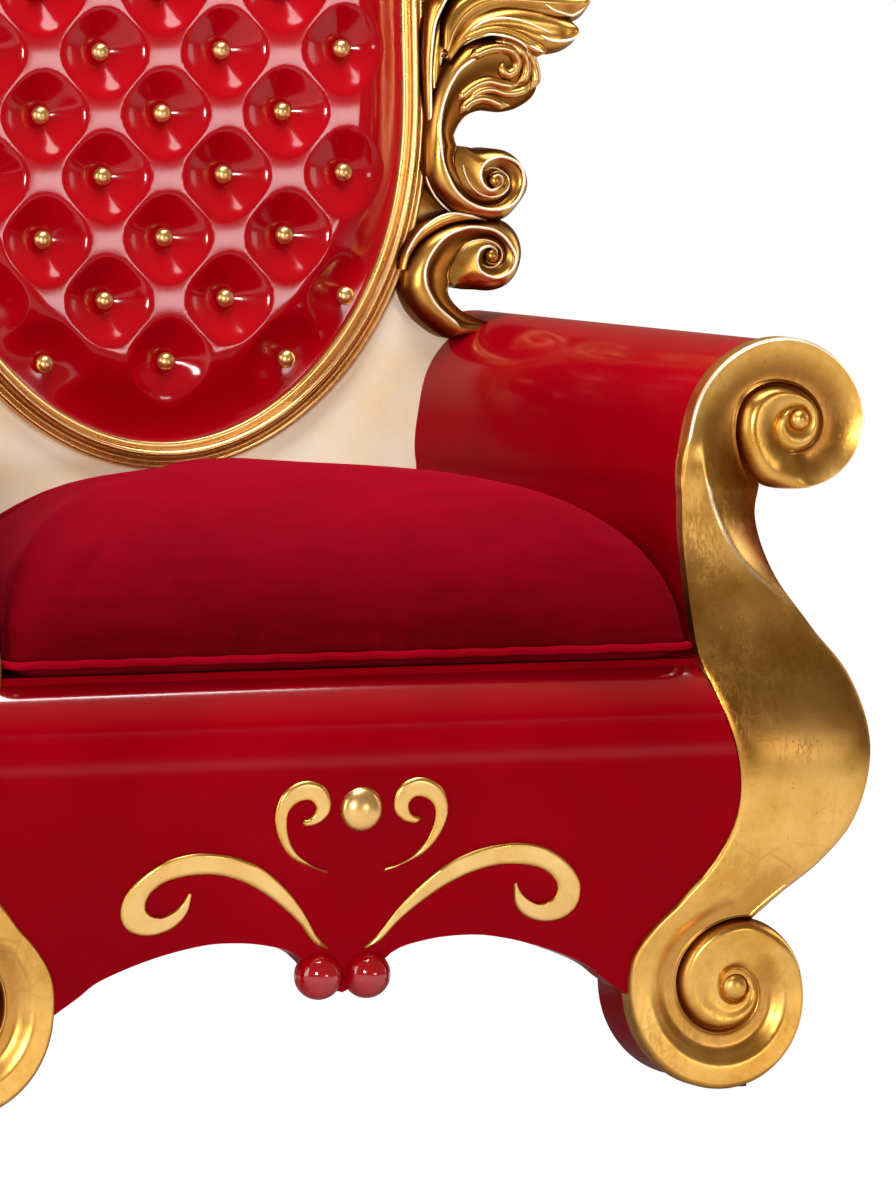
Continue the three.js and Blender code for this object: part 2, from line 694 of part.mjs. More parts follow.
function backFrame() {
  const disc = frontPrism(oval(OVAL.moulding + 34), PLATE_FRONT, PLATE_FRONT + PLATE_THICK);
  const base = SEAT_TOP + FIT;
  const skirt = curve([[FRAME_SIDE - 8, base], [FRAME_SIDE, 640], [FRAME_SIDE, 780], [372, 806], [338, 832],
    [331, 858], [356, 880], [384, 898], [356, 916], [338, 945], [333, 985], [336, 1030], [340, 1110]], 24);
  const lower = frontPrism([...skirt, [0, 1110], [0, base]], PLATE_FRONT, PLATE_FRONT + PLATE_THICK);
  const carving = [cScroll(LOWER_C, LOWER_C_STEM, 30), cScroll(UPPER_C, UPPER_C_STEM, 34), leaf(0)];
  const above = [cScroll(UPPER_C, UPPER_C_STEM, 30), leaf(8)].map(carriedUp);
  const crown = carriedRound(cScroll(UPPER_C, UPPER_C_STEM, 28));
  const carved = leaned(wasm.Manifold.union([...carving, ...above, crown])).subtract(armShape(INSET - FIT));
  const half = leaned(lower).add(carved);
  const room = frontPrism(oval(OVAL.moulding + FIT), -90, PLATE_FRONT);
  const whole = wasm.Manifold.union([leaned(disc.add(crestFan())), half, half.mirror([1, 0, 0])]);
  return whole.subtract(leaned(room));
}

function ovalMoulding() {
  const profile = [[0, PLATE_FRONT - FIT], [1, -4], [7, -3], [11, -11], [19, -11], [23, -4], [29, -5],
    [30, PLATE_FRONT - FIT]];
  const count = RIM_SIDES;
  const rings = profile.map(([out, y]) => oval(out).map(([x, z]) => [x, y, z]));
  const points = rings.flat();
  const triangles = [];
  rings.forEach((_, r) => {
    for (let k = 0; k < count; k += 1) {
      const a = r * count + k;
      const b = r * count + (k + 1) % count;
      const up = ((r + 1) % rings.length - r) * count;
      triangles.push([a, b, b + up], [a, b + up, a + up]);
    }
  });
  return leaned(orientedSolid(points, triangles));
}

// Button places as column and row numbers; alternate rows are staggered by one column.
function buttonPlaces() {
  const places = [];
  for (let row = 0; row < BUTTON.rows; row += 1) {
    const columns = row % 2 === 0 ? [-2, 0, 2] : [-3, -1, 1, 3];
    columns.forEach((column) => places.push([column * BUTTON.column, BUTTON.firstRow + row * BUTTON.row]));
  }
  return places;
}

function padDepth(x, z) {
  const [rx, rz] = ovalPoint(0, Math.atan2(z - OVAL.z, x));
  const edge = ease((1 - Math.hypot(x, z - OVAL.z) / Math.hypot(rx, rz - OVAL.z)) / 0.2);
  const dimple = buttonPlaces().reduce((deep, [bx, bz]) => {
    const r = Math.hypot(x - bx, z - bz);
    return Math.max(deep, 1 - ease(r / DIMPLE));
  }, 0);
  return mix(4, -PAD_RISE, edge * (1 - dimple));
}

// Tufted pad: a grid with two cells to each button spacing, so every button has a node.
function backPad() {
  const nx = 18;
  const nz = 26;
  const points = [];
  const triangles = [];
  for (let i = 0; i <= nx; i += 1) {
    for (let k = 0; k <= nz; k += 1) {
      const x = (i - nx / 2) * BUTTON.column / 2;
      const z = BUTTON.firstRow + (k - 3) * BUTTON.row / 2;
      points.push([x, padDepth(x, z), z]);
    }
  }
  for (let i = 0; i < nx; i += 1) {
    for (let k = 0; k < nz; k += 1) {
      const a = i * (nz + 1) + k;
      const b = a + nz + 1;
      triangles.push([a, b, b + 1], [a, b + 1, a + 1]);
    }
  }
  const slab = reliefSolid(points, triangles, PLATE_FRONT - FIT);
  return leaned(slab.intersect(frontPrism(oval(-FIT), -60, 60)));
}

function button([x, z]) {
  const ring = (r, y) => ellipse(x, z, r, r, 6).map(([px, pz]) => [px, y, pz]);
  const r = BUTTON.radius;
  return leaned(loft([ring(r * 0.5, -2.6), ring(r, -6), ring(r * 0.45, -13.4)]));
}

// Domed shell that closes the rear of the back.
function backShell() {
  const rear = PLATE_FRONT + PLATE_THICK + FIT;
  const ring = (shrink, y) => {
    const arc = oval(52 - shrink).filter(([, z]) => z > OVAL.z + 10);
    const side = [[337 - shrink, OVAL.z], [368 - shrink, 800], [384 - shrink, SEAT_TOP + FIT]];
    return [...side.map(([x, z]) => [x, y, z]).reverse(), ...arc.map(([x, z]) => [x, y, z]),
      ...side.map(([x, z]) => [-x, y, z])];
  };
  const crown = ring(90, 0);
  const top = Math.max(...crown.map(([, , z]) => z));
  const dome = DEPTH_REAR - onBack([0, rear, top])[1];
  const steps = [[0, 0], [4, 0.5], [26, 0.82], [90, 1]];
  return leaned(loft(steps.map(([shrink, share]) => ring(shrink, rear + share * dome))));
}

// ---------------------------------------------------------------- cushion
function seatCushion() {
  const base = SEAT_TOP + FIT;
  const plan = (shrink) => {
    const w0 = 379 - shrink;
    const w1 = 284 - shrink;
    const y0 = -361 + shrink * 0.9;
    const y1 = 205 - shrink;
    const r = 34;
    const corners = [[w0, y0, 270], [w1, y1, 0], [-w1, y1, 90], [-w0, y0, 180]];
    return corners.flatMap(([x, y, from]) => Array.from({ length: 5 }, (_, k) => {
      const a = rad(from + k * 22.5);
      return [x - Math.sign(x) * r + r * Math.cos(a), y - Math.sign(y) * r + r * Math.sin(a)];
    }));
  };
  const levels = [[8, 0], [0, 20], [-8, 30], [-3, 62], [8, 92], [28, 124], [58, 151], [100, 174], [150, 188],
    [205, 196]];
  const rings = levels.map(([shrink, up]) => plan(shrink).map(([x, y]) => [x, y, base + up]));
  return loft(rings, (p) => [p[0], p[1]]);
}

// ---------------------------------------------------------------- apron ornaments
const BIG_SCROLL = {
  outer: [[20, 169], [35, 183], [55, 212], [79, 238], [106, 259], [133, 271], [160, 277], [188, 278],
    [218, 270], [243, 253], [259, 231], [259, 208], [246, 194], [224, 190], [201, 197], [187, 212],
    [183, 233]],
  inner: [[24, 168], [39, 177], [57, 198], [82, 219], [109, 237], [136, 249], [164, 255], [192, 254],
    [215, 248], [230, 236], [234, 222], [227, 213], [215, 210], [206, 213], [197, 219], [190, 227],
    [186, 235]],
};
const HEART_SCROLL = {
  outer: [[33, 252], [49, 258], [75, 271], [91, 291], [98, 315], [92, 338], [77, 350], [61, 353], [45, 347],
    [37, 334], [37, 319], [47, 308], [60, 304], [66, 306]],
  inner: [[33, 255], [54, 263], [73, 279], [82, 297], [84, 315], [79, 326], [69, 332], [59, 332], [53, 326],
    [53, 320], [56, 315], [60, 312], [64, 311], [67, 309]],
};
const ORNAMENT_PROUD = 6;

// Thin scroll laid on the swollen apron.
function apronScroll(shape, count) {
  const stations = bandStations(shape, count, () => ({ rim: 2.5, crest: 0.4, far: 2, hollow: 0 }));
  const face = (z) => facetY(z) + APRON_RECESS - ORNAMENT_PROUD;
  const skin = faceFront(bandSkin(stations, [0, 0.25, 1], face));
  return reliefSolid(skin.points, skin.triangles, -300).intersect(beforeSwell(APRON_RECESS - FIT));
}

function ball(x, y, z, r, depth) {
  const shape = new THREE.SphereGeometry(r, 14, 9);
  shape.scale(1, depth / r, 1);
  shape.translate(x, y, z);
  const p = shape.getAttribute('position');
  const points = Array.from({ length: p.count }, (_, k) => [p.getX(k), p.getY(k), p.getZ(k)]);
  const corner = (k) => [0, 1, 2].map((e) => shape.index.getX(3 * k + e));
  const triangles = Array.from({ length: shape.index.count / 3 }, (_, k) => corner(k));
  return solidFrom(points, triangles);
}

const BOSS = { z: 321, radius: 23.5, proud: 14 };
const BERRY = { x: 27.5, z: 139, radius: 26, sunk: 3 };

// Ball let into the lower edge of the apron.
function berry(grow) {
  const r = BERRY.radius + grow;
  return ball(BERRY.x, frontY(BERRY.z) + APRON_RECESS + BERRY.sunk, BERRY.z, r, r);
}

// ---------------------------------------------------------------- the throne
const throne = new THREE.Group();
throne.name = 'throne';

function addPiece(name, solid, finish) {
  const mesh = solid.getMesh();
  const geometry = new THREE.BufferGeometry();
  const positions = new Float32Array(mesh.vertProperties);
  geometry.setAttribute('position', new THREE.BufferAttribute(positions, 3));
  geometry.setIndex(new THREE.BufferAttribute(new Uint32Array(mesh.triVerts), 1));
  geometry.computeVertexNormals();
  const piece = new THREE.Mesh(geometry, new THREE.MeshStandardMaterial(finish));
  piece.name = name;
  throne.add(piece);
}

function addPair(name, solid, finish) {
  addPiece(`${name}_right`, solid, finish);
  addPiece(`${name}_left`, solid.mirror([1, 0, 0]), finish);
}

const half = seatBodyHalf().subtract(berry(FIT));
addPiece('seat_body', half.add(half.mirror([1, 0, 0])), RED_LACQUER);
addPair('arm', armHalf(), RED_LACQUER);
addPair('scroll_front', scrollFront(), GOLD_LEAF);
addPiece('back_frame', backFrame(), GOLD_LEAF);
addPiece('back_shell', backShell(), RED_LACQUER);
addPiece('oval_moulding', ovalMoulding(), BRIGHT_GOLD);
addPiece('back_pad', backPad(), PATENT);
addPiece('seat_cushion', seatCushion(), VELVET);
addPair('apron_scroll', apronScroll(BIG_SCROLL, 26), GOLD_LEAF);
addPair('heart_scroll', apronScroll(HEART_SCROLL, 22), GOLD_LEAF);
addPiece('apron_boss', ball(0, facetY(BOSS.z) + APRON_RECESS, BOSS.z, BOSS.radius, BOSS.proud)
  .intersect(beforeSwell(APRON_RECESS - FIT)), BRIGHT_GOLD);
addPair('apron_berry', berry(0), RED_LACQUER);
buttonPlaces().forEach((place, k) => {
  addPiece(`button_${String(k + 1).padStart(2, '0')}`, button(place), BRIGHT_GOLD);
});

export default throne;
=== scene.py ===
# %% [markdown]
# # A throne with a tufted oval back
# Every piece is computed from the sizes below, in millimetres, in the CAD model's frame:
# X runs across the seat, -Y is the front, Z is up, and the floor is Z = 0.

# %% The frame
import math

import bmesh
import bpy
import numpy as np
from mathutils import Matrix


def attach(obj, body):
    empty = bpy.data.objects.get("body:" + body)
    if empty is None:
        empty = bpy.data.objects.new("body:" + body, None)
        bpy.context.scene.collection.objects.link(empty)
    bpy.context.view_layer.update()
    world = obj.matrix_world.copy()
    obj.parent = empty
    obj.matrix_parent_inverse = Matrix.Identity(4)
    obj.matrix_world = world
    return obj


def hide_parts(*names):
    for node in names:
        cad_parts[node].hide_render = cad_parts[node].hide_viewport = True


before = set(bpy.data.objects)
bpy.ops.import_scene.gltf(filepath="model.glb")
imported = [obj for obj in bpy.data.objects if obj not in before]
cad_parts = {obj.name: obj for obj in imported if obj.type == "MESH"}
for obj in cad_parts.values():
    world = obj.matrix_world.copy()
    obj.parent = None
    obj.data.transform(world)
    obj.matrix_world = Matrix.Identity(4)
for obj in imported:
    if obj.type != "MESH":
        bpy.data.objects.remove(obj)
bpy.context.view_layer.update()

# %% Sizes, mm
FIT = 0.3                     # gap between touching pieces
SLAB = 26                     # gold scroll fronts
INSET = 5                     # red shell inside the gold edge
APRON_RECESS = 10             # apron behind the gold
FRONT, FOREMOST = -400, 360   # foremost point of the swell, and its height
FOOT_RECESS, ARM_RECESS, SWELL_REACH = 62, 70, 260
SEAT_TOP, UNDERSIDE, BODY_REAR = 468, 188, 330
BACK_Y, BACK_Z, BACK_LEAN = 222, 690, 0.045
PLATE_FRONT, PLATE_THICK = 8, 32
FRAME_SIDE = 398
OVAL_Z, OVAL_HALF, OVAL_BELOW, OVAL_ABOVE = 1140, 285, 465, 395


# %% [markdown]
# ## Curves
# A carver draws the outlines with a lath and winds the volutes by hand. Curves could be drawn as
# splines in the viewport, but here every outline is a smooth function through a few points, and
# a volute is a spiral whose radius is a smooth function of the turned angle.

# %% Curve functions
def ease(t):
    """Smooth step from 0 to 1."""
    t = np.clip(t, 0, 1)
    return t * t * (3 - 2 * t)


def through(pairs, at):
    """Cubic Hermite curve through (position, value) pairs; slopes join the neighbours."""
    x, y = np.array(pairs, float).T
    slope = np.gradient(y, x)
    slope[1:-1] = (y[2:] - y[:-2]) / (x[2:] - x[:-2])
    at = np.clip(np.asarray(at, float), x[0], x[-1])
    i = np.clip(np.searchsorted(x, at, side="right") - 1, 0, len(x) - 2)
    w = x[i + 1] - x[i]
    t = (at - x[i]) / w
    return ((2 * t**3 - 3 * t**2 + 1) * y[i] + (t**3 - 2 * t**2 + t) * w * slope[i]
            + (3 * t**2 - 2 * t**3) * y[i + 1] + (t**3 - t**2) * w * slope[i + 1])


def curve(points, count):
    """count + 1 points along a smooth curve through the given points."""
    p = np.array(points, float)
    at = np.linspace(0, len(p) - 1, count + 1)
    return np.stack([through(np.column_stack([np.arange(len(p)), p[:, k]]), at) for k in (0, 1)], 1)


def front_y(z):
    """Front of the gold: foremost at one height, eased back below (foot) and above (arm) it."""
    z = np.asarray(z, float)
    recess = np.where(z < FOREMOST, FOOT_RECESS, ARM_RECESS)
    return FRONT + recess * ease(np.abs(z - FOREMOST) / SWELL_REACH)


def on_back(x, out, z):
    """Point at a depth measured from the leaning plane of the back."""
    return np.stack([x, out + BACK_Y + BACK_LEAN * (z - BACK_Z), z], -1)


def oval(grow, angle):
    """Oval of the back: two half ellipses, fuller on the diagonals; grow moves it outwards."""
    c, s = np.cos(angle), np.sin(angle)
    tall = np.where(s < 0, OVAL_BELOW, OVAL_ABOVE) + grow
    r = (1 + 0.055 * np.sin(2 * angle) ** 2) / np.hypot(c / (OVAL_HALF + grow), s / tall)
    return np.stack([r * c, OVAL_Z + r * s], -1)


def spiral(v, turned):
    """Point of a volute's edge after a turned angle: polar about a centre that drifts to the eye."""
    turned = np.asarray(turned, float)
    early = (turned - v["join"]) / (v["full"] - v["join"])
    lead = np.where(turned < v["full"], v["first"] + (v["full"] - v["first"]) * early, turned)
    r = through(v["radii"], np.minimum(lead, v["end"]))
    drift = ease((turned - v["drift_from"]) / (v["end"] - v["drift_from"]))[..., None]
    a = np.radians(lead if v["turn"] > 0 else 180 - lead)
    ray = np.stack([np.cos(a), np.sin(a)], -1)
    return np.array(v["centre"]) + drift * np.array(v["drift"]) + r[..., None] * ray


# %% [markdown]
# ## Meshes
# A relief is a grid of front points, each with a twin behind it; a wall joins the two along
# the open rim. Equal points are merged, so the turns of a spiral weld into one skin.

# %% Grids and pieces
def grid_faces(rows, cols, wrap_rows=False, wrap_cols=False):
    """Quads of a grid whose points are numbered row by row."""
    r = np.arange(rows if wrap_rows else rows - 1)
    c = np.arange(cols if wrap_cols else cols - 1)
    a = (r[:, None] * cols + c).ravel()
    b = (r[:, None] * cols + (c + 1) % cols).ravel()
    down = (((r + 1) % rows)[:, None] * cols + c).ravel()
    across = (((r + 1) % rows)[:, None] * cols + (c + 1) % cols).ravel()
    return np.stack([a, b, across, down], 1)


def add_piece(name, points, faces, nodes, slot, material, smooth=40, fields=None, soft=None):
    """A closed mesh from points in mm: merged, turned outwards, smooth-shaded up to an angle."""
    mesh = bpy.data.meshes.new(name)
    mesh.from_pydata((np.asarray(points) / 1000).tolist(), [], [[int(i) for i in f] for f in faces])
    for field, values in (fields or {}).items():
        layer = mesh.attributes.new(field, "FLOAT", "POINT")
        layer.data.foreach_set("value", np.asarray(values, np.float32).ravel())
    bm = bmesh.new()
    bm.from_mesh(mesh)
    bmesh.ops.remove_doubles(bm, verts=bm.verts, dist=0.00002)
    bmesh.ops.recalc_face_normals(bm, faces=bm.faces)
    bm.to_mesh(mesh)
    bm.free()
    mesh.shade_smooth()
    mesh.set_sharp_from_angle(angle=math.radians(smooth))
    piece = bpy.data.objects.new(name, mesh)
    bpy.context.scene.collection.objects.link(piece)
    mesh.materials.append(material)
    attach(piece, "root")
    if nodes:
        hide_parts(*nodes)


def add_pair(name, points, faces, nodes, slot, material, **more):
    """A piece on the right and its mirror image on the left; with no nodes, each replaces its own."""
    for side, sign in (("right", 1), ("left", -1)):
        placed = np.asarray(points) * np.array([sign, 1, 1])
        full_name = name + "_" + side
        add_piece(full_name, placed, faces, nodes or [full_name], slot, material, **more)


print("a 3 x 3 grid has", len(grid_faces(3, 3)), "faces")


# %% Closed skins
def weld(points, faces):
    """Merges equal points and drops faces that have closed up to a line."""
    _, first, index = np.unique(np.round(points, 3), axis=0, return_index=True, return_inverse=True)
    index = index.ravel()
    kept = []
    for f in faces:
        g = [int(index[i]) for i in f]
        g = [a for k, a in enumerate(g) if a != g[k - 1]]
        if len(set(g)) > 2:
            kept.append(g)
    return points[first], kept, first


def two_sided(points, back, faces):
    """Front points with their twins behind, and a wall along the open rim."""
    points, faces, first = weld(points, faces)
    back = back[first]
    n = len(points)
    used = {}
    for f in faces:
        for a, b in zip(f, f[1:] + f[:1]):
            used.setdefault((min(a, b), max(a, b)), []).append((a, b))
    rim = [e[0] for e in used.values() if len(e) == 1]
    walls = [[b, a, a + n, b + n] for a, b in rim]
    rear = [[i + n for i in reversed(f)] for f in faces]
    return np.concatenate([points, back]), faces + rear + walls, np.concatenate([first, first])


def flat_backed(points, faces, depth):
    """Front points with a wall along the open rim and one flat face behind, at a depth."""
    points, faces, first = weld(points, faces)
    used = {(a, b) for f in faces for a, b in zip(f, f[1:] + f[:1])}
    step = {a: b for a, b in used if (b, a) not in used}
    rim = [next(iter(step))]
    while step[rim[-1]] != rim[0]:
        rim.append(step[rim[-1]])
    n = len(points)
    twins = points[rim]
    twins[:, 1] = depth
    count = len(rim)
    walls = [[rim[k], n + k, n + (k + 1) % count, rim[(k + 1) % count]] for k in range(count)]
    rear = [[n + k for k in range(count)]]
    return np.concatenate([points, twins]), faces + walls + rear, np.concatenate([first, first[rim]])


def loft(rings):
    """Closed skin over rings of equal length, with a face across each end."""
    rings = np.asarray(rings, float)
    rows, cols = rings.shape[:2]
    faces = grid_faces(rows, cols, wrap_cols=True).tolist()
    faces.append(list(range(cols))[::-1])
    faces.append([(rows - 1) * cols + k for k in range(cols)])
    return rings.reshape(-1, 3), faces


def inset(loop, distance):
    """A closed outline moved inwards, each point along the normal between its neighbours."""
    ahead, behind = np.roll(loop, -1, 0), np.roll(loop, 1, 0)
    along = ahead - behind
    normal = np.stack([-along[:, 1], along[:, 0]], 1) / np.linalg.norm(along, axis=1)[:, None]
    x, z = loop.T
    sense = np.sign(np.sum(x * np.roll(z, -1) - np.roll(x, -1) * z))
    return loop + sense * distance * normal


print("mesh helpers ready")


# %% [markdown]
# ## Gold scroll fronts
# On the throne each front is one gilded board. One band runs from the foot volute up the S to
# the arm volute. Across the band the carving is a depth: it falls from a crest line to the rim
# on one side and to the groove on the other. A sculpted board could not be changed by a number.

# %% The scroll band
FOOT_VOLUTE = dict(
    centre=(443, 105), drift=(7, 5), drift_from=720, turn=1, join=72, first=108, full=180, end=900,
    radii=[(108, 136), (124, 121), (140, 118.5), (160, 119.5), (180, 115.5), (270, 104),
           (360, 86), (432, 83), (450, 79), (540, 56), (630, 39), (720, 31), (810, 23), (900, 14)])
ARM_VOLUTE = dict(
    centre=(522, 711), drift=(5, 9), drift_from=630, turn=-1, join=-60, first=-28.5, full=0, end=858,
    radii=[(-28.5, 147), (-5, 125.5), (20, 117), (50, 107.5), (90, 97), (135, 86), (180, 80),
           (225, 71.5), (270, 66), (300, 69), (330, 63), (360, 63), (395, 62), (450, 43),
           (490, 34.5), (540, 29), (630, 24.5), (720, 23.5), (800, 15), (858, 11)])
S_SEAT_SIDE = [(400, 234), (415, 257), (429, 288), (434, 325), (430, 365), (421, 400), (408, 435),
               (396, 472), (394, 517), (394, 562), (393, 602), (393, 641)]
S_OUTER_SIDE = [(468, 184), (500, 214), (535, 245), (566, 288), (581, 345), (580, 398),
                (562, 453), (530, 496), (503, 538), (491, 574), (482, 618), (487, 650)]
TURN = 100                    # stations in one turn
S_COUNT = 120                 # stations along the S
RIDGE_AT, RIDGE_FALL = 0.32, 21
RIDGE_PATH = [(0, 1), (0.66, 1), (0.735, 0.9), (0.83, 0.64), (0.92, 0.46), (0.98, 0.34),
              (1, RIDGE_AT)]
PLAIN_TONE = 4                # stored depth of plain side walls and backs


def volute_edges(v, per_turn=TURN):
    """Turned angle, outer edge and inner edge of a volute, from its join to its eye."""
    step = 360 / per_turn
    turned = v["join"] + step * np.arange(round((v["end"] - v["join"]) / step) + 1)
    return turned - v["join"], spiral(v, turned), spiral(v, turned + 360)


def ridge_depth(u, crest, far):
    """Depth behind a ridge: 9 (1 - u/c)^1.25 up to the crest c, then a hollow 1 - (1 - t)^1.2."""
    near = 9 * np.clip(1 - u / crest, 0, 1) ** 1.25
    t = np.clip((u - crest) / np.maximum(1 - crest, 1e-6), 0, 1)
    return near + far * (1 - (1 - t) ** 1.2)


def eye_dome(v, per_turn, surface, groove, proud, rings=14):
    """Eye that closes a volute: over the share s of the radius the depth rises as sqrt(1 - s^2)."""
    a = v["end"] + 360 * np.arange(per_turn) / per_turn
    edge = spiral(v, a)
    centre = np.array(v["centre"]) + np.array(v["drift"])
    share = np.sin(np.linspace(np.pi / 2, 0.02, rings))[:, None, None]
    flat = centre + (edge - centre) * share
    rise = np.sqrt(np.clip(1 - share[..., 0] ** 2, 0, 1)) * np.ones(per_turn)
    depth = groove - (groove + proud) * rise
    points = np.stack([flat[..., 0], surface(flat[..., 1]) + depth, flat[..., 1]], -1)
    faces = grid_faces(rings, per_turn, wrap_cols=True).tolist()
    faces.append([(rings - 1) * per_turn + k for k in range(per_turn)])
    return points.reshape(-1, 3), faces, depth.ravel()


def bump_line(u, at, wide, tall):
    """A thin raised line across the band, as a bell curve."""
    return tall * np.exp(-((u - at) / wide) ** 2)


def groove_depth(turned):
    """Depth of the groove at a turned angle: deepest at the first turn, shallow at the eye."""
    return 6 + 11 * (1 - ease((turned - 380) / 380))


# %% Relief across the scroll band
def foot_relief(u, at):
    """Foot volute: flat rim, a channel, a thin lip, then the groove round a swollen inner turn."""
    outer = 5 * np.clip(1 - u / 0.07, 0, 1) ** 2 + 9 * ease((u - 0.36) / 0.36)
    outer = outer - bump_line(u, 0.925, 0.022, 3)
    outer = outer + (groove_depth(at + 360) - 9) * ease((u - 0.94) / 0.06)
    inner = groove_depth(at) * np.clip(1 - u / 0.3, 0, 1) ** 2.6 + 1.5 * ease((u - 0.3) / 0.4)
    inner = inner + (groove_depth(at + 360) - 1.5) * ease((u - 0.84) / 0.16)
    return outer, inner


def arm_relief(u, at):
    """Arm volute: thin rim, broad dish, thin lip, then the groove round a rising tube."""
    dish = 1 - np.clip(1 - (u - 0.05) / 0.8, 0, 1) ** 2
    outer = 6 * np.clip(1 - u / 0.05, 0, 1) ** 2 + 12 * dish
    outer = outer - bump_line(u, 0.93, 0.022, 3.5)
    outer = outer + (groove_depth(at + 360) - 12) * ease((u - 0.945) / 0.055)
    inner = groove_depth(at) * np.clip(1 - u / 0.42, 0, 1) ** 2.2
    inner = inner + groove_depth(at + 360) * np.clip((u - 0.42) / 0.58, 0, 1) ** 2.2
    return outer, inner


def scroll_front():
    """Points, faces and stored tone of the right-hand scroll front: carving depth with painted
    highlights.
    """
    u = (1 - np.cos(np.linspace(0, np.pi, 44))) / 2
    turned, outer, inner = volute_edges(FOOT_VOLUTE)
    rows = [[outer[:0:-1], inner[:0:-1], "foot", turned[:0:-1]]]
    along = np.linspace(0, 1, S_COUNT + 1)
    rows.append([curve(S_SEAT_SIDE, S_COUNT), curve(S_OUTER_SIDE, S_COUNT), "s", along])
    turned, outer, inner = volute_edges(ARM_VOLUTE)
    rows.append([outer[1:], inner[1:], "arm", turned[1:]])
    ridge = ridge_depth(u, RIDGE_AT, RIDGE_FALL)
    points, depth_with_highlights = [], []
    for near, far, part, at in rows:
        at = at[:, None]
        if part == "s":
            crest = through(RIDGE_PATH, at)
            upper = ridge_depth(u, crest, RIDGE_FALL * ease((at - 0.66) / 0.2))
            swell = 5 * np.abs(2 * u - 1) ** 2.4 + 2.5 * np.abs(2 * u - 1) ** 14
            up, down = ease((at - 0.56) / 0.16), 1 - ease(at / 0.32)
            depth = (swell * (1 - up) + upper * up) * (1 - down) + foot_relief(u, 0 * at)[0] * down
        else:
            outer_turn = 1 - ease((at - 300) / 60)
            wide, coiled = (foot_relief if part == "foot" else arm_relief)(u, at)
            depth = wide * outer_turn + coiled * (1 - outer_turn)
            if part == "arm":
                lead = 1 - ease(at / 75)
                depth = depth * (1 - lead) + ridge * lead
        width = np.linalg.norm(near - far, axis=1)[:, None]
        edge = np.where(u < 0.5, depth[:, :1], depth[:, -1:])
        depth = edge + (depth - edge) * np.clip(width / 12, 0, 1)
        flat = near[:, None] + (far - near)[:, None] * u[:, None]
        points.append(np.stack([flat[..., 0], front_y(flat[..., 1]) + depth, flat[..., 1]], -1))
        # The stored tone is the depth, lowered to a painted highlight along the crest of the S, on
        # the ridge where the arm volute begins, and on the outer rim of its first turn.
        tone = np.maximum(depth, 0.4)
        if part == "s":
            tone = tone - 1.3 * bump_line(u, crest, 0.05, 1) * ease((at - 0.6) / 0.2)
        elif part == "arm":
            tone = tone - lead * bump_line(u, RIDGE_AT, 0.05, 1.3)
            tone = tone - outer_turn * (1 - lead) * bump_line(u, 0.02, 0.03, 6)
        depth_with_highlights.append(tone)
    points, depth_with_highlights = np.concatenate(points), np.concatenate(depth_with_highlights)
    faces = grid_faces(*points.shape[:2]).tolist()
    points, depth_with_highlights = points.reshape(-1, 3), depth_with_highlights.ravel()
    for v, proud in ((FOOT_VOLUTE, 3), (ARM_VOLUTE, 5)):
        more, cap, deep = eye_dome(v, TURN, front_y, groove_depth(900), proud)
        deep = np.maximum(deep, 0.6)
        faces += [[i + len(points) for i in f] for f in cap]
        points, depth_with_highlights = np.concatenate([points, more]), np.concatenate([depth_with_highlights, deep])
    back = points.copy()
    back[:, 1] = front_y(points[:, 2]) + SLAB
    points, faces, first = two_sided(points, back, faces)
    return points, faces, np.where(np.arange(len(first)) < len(first) / 2, depth_with_highlights[first], PLAIN_TONE)


# %% [markdown]
# ## Finishes
# Each finish is a Principled material driven by noise in object space. The carving's stored
# depth paints shade into the gold in its grooves and a pale painted highlight on its crests.

# %% Shader helpers
def set_sockets(material, values):
    """Puts constant values on the Principled shader's own sockets."""
    for key, value in values.items():
        material.node_tree.nodes["Principled BSDF"].inputs[key].default_value = value


def new_material(name, colour, roughness, metallic=0.0, coat=0.0, specular=0.5):
    """A Principled material with constant values only."""
    m = bpy.data.materials.new(name)
    m.use_nodes = True
    set_sockets(m, {"Base Color": (*colour, 1), "Roughness": roughness, "Metallic": metallic,
                    "Coat Weight": coat, "Coat Roughness": 0.04, "Specular IOR Level": specular})
    return m, m.node_tree.nodes["Principled BSDF"]


def srgb(text):
    """Linear colour from a hex code."""
    c = np.array([int(text[i:i + 2], 16) for i in (0, 2, 4)]) / 255
    return tuple(np.where(c <= 0.04045, c / 12.92, ((c + 0.055) / 1.055) ** 2.4))


